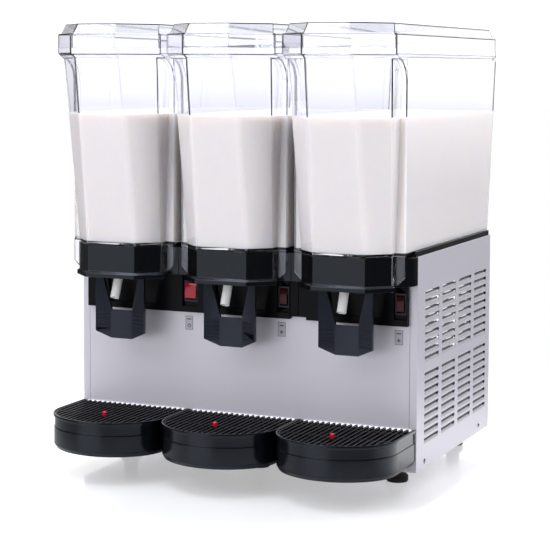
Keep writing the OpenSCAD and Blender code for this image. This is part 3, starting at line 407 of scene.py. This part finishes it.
steel = metal("brushed_stainless", (0.785, 0.762, 0.835), (0.815, 0.792, 0.865), 0.40, 0.08,
              (8, 8, 1400), metallic=0.12)
dome_steel = metal("polished_dome", (0.70, 0.70, 0.72), (0.76, 0.76, 0.78), 0.14, 0.06,
                   (30, 30, 300))
fin_metal = metal("fin_aluminium", (0.62, 0.63, 0.65), (0.70, 0.71, 0.73), 0.35, 0.12,
                  (60, 60, 900))
screw_steel = metal("screw_steel", (0.32, 0.32, 0.34), (0.40, 0.40, 0.42), 0.22, 0.10,
                    (900, 900, 900))
black_gloss = plastic("black_gloss", *DEEP_BLACK, 0.16, 0.08, 2200, 0.05, shine=COOL_PAINTED_REFLECTION)
black_satin = plastic("black_satin", (0.0130, 0.0148, 0.0220), (0.0170, 0.0193, 0.0285),
                      0.30, 0.10, 2600, 0.25, shine=COOL_PAINTED_REFLECTION)
black_dull = plastic("black_dull", *DEEP_BLACK, 0.30, 0.10, 2200, 0.05, level=0.12)
black_flat = plastic("black_flat", (0.0030, 0.0032, 0.0042), (0.0045, 0.0048, 0.0060),
                     0.60, 0.10, 2200, 0.05, level=0.03)
white_plastic = plastic("white_satin", (0.88, 0.88, 0.87), (0.93, 0.93, 0.92),
                        0.32, 0.08, 2000, 0.08)
float_red = plastic("float_red", (0.52, 0.010, 0.025), (0.62, 0.016, 0.035),
                    0.20, 0.08, 1800, 0.05)
# The left rocker is the lit main switch; the glow set below comes from its own lamp.
rocker_lit = plastic("rocker_lit", (0.30, 0.002, 0.014), (0.40, 0.004, 0.024),
                     0.12, 0.06, 700, 0.05, coat=0.2)
# The other two rockers are unlit and sit in the shade of the collars. Their much darker red is
# partly their own unlit colour and partly painted shade.
rocker_unlit_shaded = plastic("rocker_unlit_shaded", (0.045, 0.0015, 0.004), (0.065, 0.0025, 0.006),
                      0.18, 0.06, 700, 0.05, level=0.3)
# A light finish that glows although it is no lamp: painted highlights at the slot ends.
painted_highlight_strip = plastic("painted_highlight_strip", (0.86, 0.86, 0.90), (0.92, 0.92, 0.95),
                      0.25, 0.08, 1500, 0.05)
rubber = plastic("foot_rubber", (0.012, 0.012, 0.012), (0.020, 0.020, 0.020),
                 0.62, 0.12, 1500, 0.4)
seal_rubber = plastic("seal_rubber", (0.16, 0.16, 0.16), (0.22, 0.22, 0.22),
                      0.55, 0.1, 1500, 0.3)
enamel = plastic("black_enamel", (0.014, 0.014, 0.014), (0.024, 0.024, 0.024),
                 0.28, 0.12, 400, 0.1)
# Glow: the lit main switch's own lamp, and the painted highlight of the slot-end strip.
for shining, low, high, strength in ((rocker_lit, (0.50, 0.0, 0.020), (1.0, 0.01, 0.08), 0.11),
                                     (painted_highlight_strip, (0.85, 0.85, 0.90), (1.0, 1.0, 1.0), 1.0)):
    tree = shining.node_tree
    shader = tree.nodes["Principled BSDF"]
    cloud = place_group(tree, moulded, Scale=700, Roughness=0.1, Change=0.05).outputs["Cloud"]
    node_link(tree, tint(tree, cloud, low, high), shader.inputs["Emission Color"])
    shader.inputs["Emission Strength"].default_value = strength
print("materials:", len(bpy.data.materials))

# %% [markdown]
# ## Clear plastic
# The bowls and lids are clear moulded plastic with thick walls. A Principled
# shader with full transmission bends light as the real wall does, which gives the
# dark and bright lines along every edge. Shadow rays pass straight through, so
# the drink inside is lit without noise, and so do rays that already went through
# several walls: they would be cut off before they reach the light, and the lids
# would look grey.

# %% Clear plastic
MANY_WALLS = 5.5

clear_plastic, tree, shader = start_material("clear_polycarbonate")
shader.inputs["Base Color"].default_value = (0.950, 0.952, 1.0, 1)
shader.inputs["Transmission Weight"].default_value = 1
shader.inputs["IOR"].default_value = 1.5
haze = place_group(tree, moulded, Scale=900, Roughness=0.012, Change=0.02)
node_link(tree, haze.outputs["Roughness"], shader.inputs["Roughness"])
bump(tree, shader, haze.outputs["Cloud"], 0.02, 0.002)
path = tree.nodes.new("ShaderNodeLightPath")
deep = math_node(tree, "GREATER_THAN", path.outputs["Transmission Depth"], MANY_WALLS)
straight = math_node(tree, "MAXIMUM", path.outputs["Is Shadow Ray"], deep)
mix_clear(tree, shader.outputs[0], straight)

# %% [markdown]
# ## White drink
# Light goes a little way into the drink before it comes out again, so the shader
# scatters most of it below the surface and the edges look soft.

# %% Drink
drink_white, tree, shader = start_material("white_drink")
milk = place_group(tree, moulded, Scale=60, Roughness=0.4, Change=0.1)
milk_tint = tint(tree, milk.outputs["Cloud"], (0.745, 0.715, 0.700), (0.770, 0.740, 0.725))
node_link(tree, milk_tint, shader.inputs["Base Color"])
node_link(tree, milk.outputs["Roughness"], shader.inputs["Roughness"])
bump(tree, shader, milk.outputs["Grain"], 0.05, 0.0005)
shader.inputs["Subsurface Weight"].default_value = 0.7
shader.inputs["Subsurface Radius"].default_value = (1.0, 0.72, 0.50)
shader.inputs["Subsurface Scale"].default_value = 0.02
print("clear and drink materials made")

# %% [markdown]
# ## From a solid to a piece with soft edges
# A solid comes in as loose triangles. The copy is merged, its flat triangles are
# joined into whole faces, and a Bevel modifier rounds each edge that is sharper
# than a given angle. Where short edges meet, a bevel can throw a point out into
# the air, so each such point goes back to the nearest place on its solid. A face in
# the shape of a ring can fold over itself in a bevel, so the bowls' faces are first
# cut into convex ones. The copy then stands for its solid and moves with its body.

# %% Piece helpers
SAME_POINT = 1e-5
FLAT_ANGLE = math.radians(0.4)
STRAY = 0.75


def activate(piece):
    """Makes one object the only selected and active one."""
    bpy.ops.object.select_all(action="DESELECT")
    piece.select_set(True)
    bpy.context.view_layer.objects.active = piece


def whole_copy(node, name):
    """Copies a solid as one piece with merged, whole faces."""
    piece = bpy.data.objects.new(name, frame["nodes"][node].data.copy())
    bpy.context.scene.collection.objects.link(piece)
    piece.data.materials.clear()
    activate(piece)
    bpy.ops.mesh.customdata_custom_splitnormals_clear()
    bpy.ops.object.mode_set(mode="EDIT")
    bpy.ops.mesh.select_all(action="SELECT")
    bpy.ops.mesh.remove_doubles(threshold=SAME_POINT)
    bpy.ops.mesh.dissolve_limited(angle_limit=FLAT_ANGLE)
    bpy.ops.object.mode_set(mode="OBJECT")
    return piece


def soften(piece, width, segments=2, angle=30, smooth=35, solid=None):
    """Rounds the sharp edges of a piece and shades it smooth up to an angle."""
    activate(piece)
    modifier = piece.modifiers.new("soft_edges", "BEVEL")
    modifier.width = width
    modifier.segments = segments
    modifier.limit_method = "ANGLE"
    modifier.angle_limit = math.radians(angle)
    modifier.use_clamp_overlap = False
    bpy.ops.object.modifier_apply(modifier=modifier.name)
    for point in piece.data.vertices if solid else ():
        found, place, _, _ = solid.closest_point_on_mesh(point.co)
        if found and (place - point.co).length > STRAY * width:
            point.co = place
    bpy.ops.object.shade_smooth_by_angle(angle=math.radians(smooth))
    even = piece.modifiers.new("even_faces", "WEIGHTED_NORMAL")
    even.keep_sharp = True
    bpy.ops.object.modifier_apply(modifier=even.name)
    return piece


def split_rings(piece):
    """Cuts ring-shaped faces into convex ones, which stay flat in a bevel."""
    activate(piece)
    bpy.ops.object.mode_set(mode="EDIT")
    bpy.ops.mesh.select_all(action="SELECT")
    bpy.ops.mesh.vert_connect_concave()
    bpy.ops.object.mode_set(mode="OBJECT")
    return piece


def dress(piece, node, material):
    """Gives a piece its finish and its body, and hides the solid that it stands for."""
    piece.data.materials.clear()
    piece.data.materials.append(material)
    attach(piece, BODY_OF[node])
    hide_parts(node)
    return piece


def soft_piece(node, material, width, segments=2, angle=30):
    """The usual way from a solid to a dressed piece."""
    copy = whole_copy(node, node + "_soft")
    return dress(soften(copy, width, segments, angle, solid=frame["nodes"][node]), node, material)


def keep_solid(node, material):
    """Keeps a solid as it is and gives it a finish."""
    solid = frame["nodes"][node]
    solid.data.materials.clear()
    solid.data.materials.append(material)


# %% Selection helpers
def pick_points(piece, test):
    """Selects the corners of a piece whose place passes a test, in edit mode."""
    activate(piece)
    bpy.ops.object.mode_set(mode="EDIT")
    bpy.ops.mesh.select_mode(type="VERT")
    bpy.ops.mesh.select_all(action="DESELECT")
    bpy.ops.object.mode_set(mode="OBJECT")
    for point in piece.data.vertices:
        point.select = test(point.co)
    bpy.ops.object.mode_set(mode="EDIT")


def pick_edges(piece, test):
    """Selects the edges of a piece whose two ends pass a test, in edit mode."""
    activate(piece)
    bpy.ops.object.mode_set(mode="EDIT")
    bpy.ops.mesh.select_mode(type="EDGE")
    bpy.ops.mesh.select_all(action="DESELECT")
    bpy.ops.object.mode_set(mode="OBJECT")
    points = piece.data.vertices
    for edge in piece.data.edges:
        edge.select = test(points[edge.vertices[0]].co, points[edge.vertices[1]].co)
    bpy.ops.object.mode_set(mode="EDIT")


def shift_points(piece, test, widen=1.0, back=0.0):
    """Widens the picked corners about the middle and moves them along Y."""
    pick_points(piece, test)
    bpy.ops.transform.resize(value=(widen, 1, 1), center_override=(0, 0, 0))
    bpy.ops.transform.translate(value=(0, back, 0))
    bpy.ops.object.mode_set(mode="OBJECT")


def block_piece(name, low, high):
    """A cube primitive set between two corners, its size in its mesh."""
    bpy.ops.object.select_all(action="DESELECT")
    middle = [(a + b) / 2 for a, b in zip(low, high)]
    bpy.ops.mesh.primitive_cube_add(size=1, location=middle)
    piece = bpy.context.object
    piece.name = name
    piece.scale = [b - a for a, b in zip(low, high)]
    bpy.ops.object.transform_apply(location=True, rotation=True, scale=True)
    return piece


def join_by(piece, other, operation):
    """Joins or cuts a piece with another one, which is then removed."""
    activate(piece)
    cut = piece.modifiers.new("join", "BOOLEAN")
    cut.operation = operation
    cut.object = other
    cut.solver = "EXACT"
    bpy.ops.object.modifier_apply(modifier=cut.name)
    bpy.data.objects.remove(other, do_unlink=True)


# %% [markdown]
# ## Black mouldings, taps and switches
# One loop dresses the small pieces of each station. Two of them have a second
# finish on some faces: the flange behind the collar is duller than the basin, and
# the slats of a grille are flat black with a gloss on their rounded edges.

# %% Black mouldings, taps and switches
FLANGE_Z, FLANGE_Y = 0.3530, -0.125
ROUNDED = (0.2, 0.97)


def second_finish(piece, material, test):
    """Gives the faces that pass a test a second finish."""
    piece.data.materials.append(material)
    for face in piece.data.polygons:
        face.material_index = 1 if test(face) else 0


for s in STATIONS:
    basin = soft_piece(f"basin_{s}", black_gloss, 0.0008)
    second_finish(basin, black_dull, lambda f: f.center.z > FLANGE_Z and f.center.y > FLANGE_Y)
    soft_piece(f"lever_{s}", black_satin, 0.0006)
    soft_piece(f"tray_{s}", black_gloss, 0.0009, angle=40)
    grille = soft_piece(f"grille_{s}", black_flat, 0.0008)
    second_finish(grille, black_gloss, lambda f: ROUNDED[0] < f.normal.z < ROUNDED[1])
    soft_piece(f"tap_{s}", white_plastic, 0.0005)
    soft_piece(f"float_{s}", float_red, 0.0004, angle=50)
    # The two right rockers get the darker red: unlit colour and painted shade.
    soft_piece(f"rocker_{s}", rocker_lit if s == "left" else rocker_unlit_shaded, 0.0007)
for node in ("switch_plate_double", "switch_plate_single"):
    soft_piece(node, black_dull, 0.0006)
print("black pieces made")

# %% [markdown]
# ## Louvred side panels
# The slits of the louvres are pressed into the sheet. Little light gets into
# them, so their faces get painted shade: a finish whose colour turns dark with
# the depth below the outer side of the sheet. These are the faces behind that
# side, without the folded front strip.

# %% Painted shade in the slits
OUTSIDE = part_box("right_side_panel")[1][0]
SHADE_DEPTH = (0.0010, 0.0021)

painted_slit_shade, tree, shader = start_material("louvre_painted_shade")
shader.inputs["Metallic"].default_value = 0.2
coord = tree.nodes.new("ShaderNodeTexCoord")
place = tree.nodes.new("ShaderNodeSeparateXYZ")
node_link(tree, coord.outputs["Object"], place.inputs[0])
depth = math_node(tree, "SUBTRACT", OUTSIDE, math_node(tree, "ABSOLUTE", place.outputs["X"], 0))
# Painted shade: the colour darkens with the depth below the outer side.
shade = smooth_ramp(tree, depth, *SHADE_DEPTH)
shade_tint = tint(tree, shade, (0.60, 0.59, 0.63), (0.035, 0.035, 0.042))
node_link(tree, shade_tint, shader.inputs["Base Color"])
sheet = place_group(tree, brushed, Along_X=8, Along_Y=8, Along_Z=1400, Roughness=0.5, Change=0.08)
node_link(tree, sheet.outputs["Roughness"], shader.inputs["Roughness"])

# %% Louvred side panels
SLIT_DEPTH = 0.0009
STRIP_DEPTH = 0.020
for node in ("left_side_panel", "right_side_panel"):
    panel = soft_piece(node, steel, 0.0004, 1, angle=60)
    low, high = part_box(node)
    outside = max(abs(low[0]), abs(high[0]))
    strip_end = low[1] + STRIP_DEPTH
    # The faces in the slits get the painted shade.
    second_finish(panel, painted_slit_shade, lambda f: (outside - abs(f.center.x) > SLIT_DEPTH
                                                and f.center.y > strip_end))
print("louvred panels made")

# %% [markdown]
# ## Painted highlights at the ends of the slots
# Each slot of a grille ends in a bright dot: light that falls between the last of
# the slats and the panel. A thin strip set into the slats' rear ends glows without
# being a lamp and shows between them as these dots: painted highlights.

# %% Painted highlights at the slot ends
EDGE_T, EDGE_IN = 0.0006, 0.005
EDGE_ABOVE, EDGE_BELOW = 0.0004, 0.0002
for s in STATIONS:
    low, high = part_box(f"grille_{s}")
    edge = block_piece(f"grille_painted_highlight_{s}",
                       (low[0] + EDGE_IN, high[1] - EDGE_T, low[2] + EDGE_ABOVE),
                       (high[0] - EDGE_IN, high[1], high[2] - EDGE_BELOW))
    soften(edge, 0.0002, 2)
    # The strip's finish glows: a painted highlight.
    edge.data.materials.append(painted_highlight_strip)
    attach(edge, BODY_OF[f"grille_{s}"])
print("slot ends made")

# %% [markdown]
# ## Bowls and lids
# The top of each side recess is an arch of short edges. Where two of them meet the
# wall almost at one point, the points are merged first, so that the bevel runs
# along the arch without a knot.

# %% Bowls and lids
ARCH_Z, ARCH_NEAR, ARCH_MERGE = 0.6135, 0.0003, 0.0006
for s in STATIONS:
    node = f"bowl_{s}"
    bowl = whole_copy(node, node + "_soft")
    pick_points(bowl, lambda p: abs(p.z - ARCH_Z) < ARCH_NEAR)
    bpy.ops.mesh.remove_doubles(threshold=ARCH_MERGE)
    bpy.ops.object.mode_set(mode="OBJECT")
    soften(split_rings(bowl), 0.0010, 3, angle=15, solid=frame["nodes"][node])
    dress(bowl, node, clear_plastic)
    soft_piece(f"lid_{s}", clear_plastic, 0.0006, 2, angle=15)
print("clear pieces made")

# %% [markdown]
# ## Drink
# A liquid takes the inside shape of its bowl. It could be cut from the bowl by a
# Boolean, but modelling it from two tapered blocks is cleaner: a wide one for the
# bowl and an eight-sided one for the nose, joined, with a round hollow over the
# cold dome. It reaches about a millimetre into the wall, as a liquid wets its bowl:
# with air between the two, every edge of the wall would show a dark or white line.

# %% Drink shape
FRONT_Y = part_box("front_panel")[0][1]
DRINK_LOW, DRINK_TOP = 0.3645, 0.565
NOSE_LOW = {"front": -0.0802, "half": 0.0408, "side": 0.0702}
NOSE_TOP = {"front": -0.1121, "half": 0.0396, "side": 0.0770}
MAIN_LOW = {"half": 0.0869, "front": -0.0362, "rear": 0.3782}
MAIN_TOP = {"half": 0.0874, "front": -0.0376, "rear": 0.4056}
MID_Y = FRONT_Y + 0.1
NOSE_BACK, NOSE_EDGE_X, NOSE_ROUND = 0.05, 0.055, 0.007
NEAR = 0.001
HOLLOW_R, HOLLOW_TOP, HOLLOW_BELOW = 0.060, 0.4925, 0.02
DRINK_SMOOTH = 20

wide = block_piece("drink_middle", (-MAIN_LOW["half"], FRONT_Y + MAIN_LOW["front"], DRINK_LOW),
                   (MAIN_LOW["half"], FRONT_Y + MAIN_LOW["rear"], DRINK_TOP))
half_way = (DRINK_LOW + DRINK_TOP) / 2
stretch_main = MAIN_TOP["half"] / MAIN_LOW["half"]
shift_points(wide, lambda p: p.z > half_way and p.y > MID_Y,
             stretch_main, MAIN_TOP["rear"] - MAIN_LOW["rear"])
shift_points(wide, lambda p: p.z > half_way and p.y < MID_Y,
             stretch_main, MAIN_TOP["front"] - MAIN_LOW["front"])

# %% Drink in the nose
tip = block_piece("drink_nose", (-NOSE_LOW["side"], FRONT_Y + NOSE_LOW["front"], DRINK_LOW),
                  (NOSE_LOW["side"], FRONT_Y + NOSE_BACK, DRINK_TOP))
front_line = FRONT_Y + NOSE_LOW["front"] + NEAR
pick_edges(tip, lambda a, b: max(a.y, b.y) < front_line and abs(a.x - b.x) < NEAR)
corner_low = NOSE_LOW["side"] - NOSE_LOW["half"]
corner_top = NOSE_TOP["side"] - NOSE_TOP["half"]
bpy.ops.mesh.bevel(offset=corner_low, segments=1, affect="EDGES")
bpy.ops.object.mode_set(mode="OBJECT")
lean = NOSE_TOP["front"] - NOSE_LOW["front"]
widen = NOSE_TOP["side"] / NOSE_LOW["side"]
shift_points(tip, lambda p: p.z > half_way and abs(p.x) > NOSE_EDGE_X, widen)
shift_points(tip, lambda p: p.z > half_way and abs(p.x) > NOSE_EDGE_X and p.y < FRONT_Y,
             1.0, lean + corner_top - corner_low)
shift_points(tip, lambda p: p.z > half_way and abs(p.x) < NOSE_EDGE_X,
             NOSE_TOP["half"] / NOSE_LOW["half"], lean)
pick_edges(tip, lambda a, b: abs(a.z - b.z) > 0.1 and abs(a.x) < NOSE_EDGE_X)
bpy.ops.mesh.bevel(offset=NOSE_ROUND, segments=5, affect="EDGES")
bpy.ops.object.mode_set(mode="OBJECT")
join_by(wide, tip, "UNION")
print("drink with its nose:", len(wide.data.polygons), "faces")

# %% Hollow over the dome and soft edges
dome_low, dome_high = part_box("cold_dome_middle")
dome_y = (dome_low[1] + dome_high[1]) / 2
hollow_z = (HOLLOW_TOP + DRINK_LOW - HOLLOW_BELOW) / 2
bpy.ops.object.select_all(action="DESELECT")
bpy.ops.mesh.primitive_cylinder_add(vertices=64, radius=HOLLOW_R,
                                    depth=HOLLOW_TOP - DRINK_LOW + HOLLOW_BELOW,
                                    location=(0, dome_y, hollow_z))
hollow = bpy.context.object
bpy.ops.object.transform_apply(location=True, rotation=True, scale=True)
join_by(wide, hollow, "DIFFERENCE")
soften(wide, 0.0012, 2, angle=25, smooth=DRINK_SMOOTH)
pick_points(wide, lambda p: True)
bpy.ops.mesh.quads_convert_to_tris(ngon_method="BEAUTY")
bpy.ops.mesh.normals_make_consistent(inside=False)
bpy.ops.object.mode_set(mode="OBJECT")
bpy.ops.mesh.customdata_custom_splitnormals_clear()
bpy.ops.object.shade_smooth_by_angle(angle=math.radians(DRINK_SMOOTH))
drink_top = max(v.co.z for v in wide.data.vertices)
print("drink:", len(wide.data.polygons), "faces, top at", round(drink_top, 4))

# %% Drink in every bowl
def copy_to(piece, name, step):
    """Copies a piece with its own mesh, moves it sideways and applies the move."""
    copy = bpy.data.objects.new(name, piece.data.copy())
    bpy.context.scene.collection.objects.link(copy)
    activate(copy)
    copy.location.x = step
    bpy.ops.object.transform_apply(location=True, rotation=True, scale=True)
    return copy


def station_x(s):
    """Middle of a station, from the box of its lid."""
    low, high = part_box(f"lid_{s}")
    return (low[0] + high[0]) / 2


drinks = {"middle": wide}
for s in ("left", "right"):
    drinks[s] = copy_to(wide, f"drink_{s}", station_x(s) - station_x("middle"))
for s, piece in drinks.items():
    piece.data.materials.clear()
    piece.data.materials.append(drink_white)
    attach(piece, BODY_OF[f"bowl_{s}"])
print("drinks:", sorted(drinks))

# %% [markdown]
# ## Labels
# Below each switch the panel carries a small printed label. It is a thin film with
# a printed border, a bar and a plain sign: a ring with a mark for the left switch
# and a cold star for the other two. The front of the film is inset for its border,
# and the bar and the sign are thin raised bits of ink, joined into one piece.

# %% Label helpers
ink = plastic("label_ink", (0.03, 0.03, 0.035), (0.05, 0.05, 0.055), 0.5, 0.1, 3000, 0.1)
film = plastic("label_film", (0.56, 0.55, 0.60), (0.60, 0.59, 0.64), 0.38, 0.1, 3000, 0.05)
LABEL_T = 0.00015
LABEL_Z = (0.2225, 0.2445)
LABEL_HALF = 0.0064
LABEL_X = {"left": -0.0942, "middle": 0.0647, "right": 0.2558}
BORDER = 0.0006
BAR_W, BAR_H, BAR_AT = 0.0072, 0.0016, 0.77
SIGN_AT = 0.30
RING_R, RING_T, RING_FLAT = 0.0026, 0.0005, 0.3
MARK_W, MARK_H, MARK_UP = 0.0008, 0.0030, 0.0016
ARM_W, ARM_H = 0.0009, 0.0066
INK_Y = FRONT_Y - LABEL_T


def flat_block(name, x, z, width, height, y):
    """A thin block on the front panel."""
    return block_piece(name, (x - width / 2, y - LABEL_T, z - height / 2),
                       (x + width / 2, y, z + height / 2))


def turned(piece, x, z, degrees):
    """Turns a thin block about the Y axis at a place."""
    pick_points(piece, lambda p: True)
    bpy.ops.transform.rotate(value=math.radians(degrees), orient_axis="Y",
                             center_override=(x, FRONT_Y, z))
    bpy.ops.object.mode_set(mode="OBJECT")
    return piece


def merged(pieces, name):
    """Joins several pieces into one object."""
    activate(pieces[0])
    for piece in pieces:
        piece.select_set(True)
    bpy.ops.object.join()
    pieces[0].name = name
    return pieces[0]


def ring_sign(x, z):
    """A flat ring of ink with a short mark at its top."""
    bpy.ops.object.select_all(action="DESELECT")
    bpy.ops.mesh.primitive_torus_add(major_radius=RING_R, minor_radius=RING_T, major_segments=32,
                                     minor_segments=6, location=(x, INK_Y, z),
                                     rotation=(math.pi / 2, 0, 0))
    ring = bpy.context.object
    bpy.ops.object.transform_apply(location=True, rotation=True, scale=True)
    pick_points(ring, lambda p: True)
    bpy.ops.transform.resize(value=(1, RING_FLAT, 1), center_override=(x, INK_Y, z))
    bpy.ops.object.mode_set(mode="OBJECT")
    return [ring, flat_block("mark", x, z + MARK_UP, MARK_W, MARK_H, INK_Y)]


def star_sign(x, z):
    """A cold star of three crossed arms."""
    return [turned(flat_block("arm", x, z, ARM_W, ARM_H, INK_Y), x, z, 60 * k) for k in range(3)]


# %% Labels
for s in STATIONS:
    x = LABEL_X[s]
    height = LABEL_Z[1] - LABEL_Z[0]
    middle = sum(LABEL_Z) / 2
    sheet_piece = flat_block(f"label_film_{s}", x, middle, 2 * LABEL_HALF, height, FRONT_Y)
    pick_points(sheet_piece, lambda p: p.y < FRONT_Y - LABEL_T / 2)
    bpy.ops.mesh.inset(thickness=BORDER)
    bpy.ops.object.mode_set(mode="OBJECT")
    sheet_piece.data.materials.append(ink)
    second_finish(sheet_piece, film, lambda f: f.select)
    sign_z = LABEL_Z[0] + SIGN_AT * height
    bits = [flat_block("bar", x, LABEL_Z[0] + BAR_AT * height, BAR_W, BAR_H, INK_Y)]
    bits += ring_sign(x, sign_z) if s == "left" else star_sign(x, sign_z)
    for bit in bits:
        bit.data.materials.append(ink)
    sign = merged(bits, f"label_sign_{s}")
    for piece in (sheet_piece, sign):
        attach(piece, BODY_OF["front_panel"])
print("labels at", LABEL_X)

# %% [markdown]
# ## Solids that stay as they are
# The flat sheets of the cabinet and the parts inside it keep their solids and only
# get a finish.

# %% Solids that stay as they are
for node in ("base_pan", "front_panel", "rear_panel", "top_deck"):
    keep_solid(node, steel)
for node in ("switch_bodies", "cable_gland"):
    keep_solid(node, black_satin)
for node in ("agitator_motors", "compressor", "fan_frame", "fan"):
    keep_solid(node, enamel)
for node in ("panel_screws", "lever_pins"):
    keep_solid(node, screw_steel)
keep_solid("bowl_seals", seal_rubber)
keep_solid("feet", rubber)
keep_solid("condenser", fin_metal)
for s in STATIONS:
    keep_solid(f"cold_dome_{s}", dome_steel)
    keep_solid(f"plunger_{s}", white_plastic)
    keep_solid(f"agitator_{s}", white_plastic)
print("the other solids have their finish")

# %% [markdown]
# ## View transform
# The picture is shown with the Standard view transform.

# %% View transform
bpy.context.scene.view_settings.view_transform = "Standard"
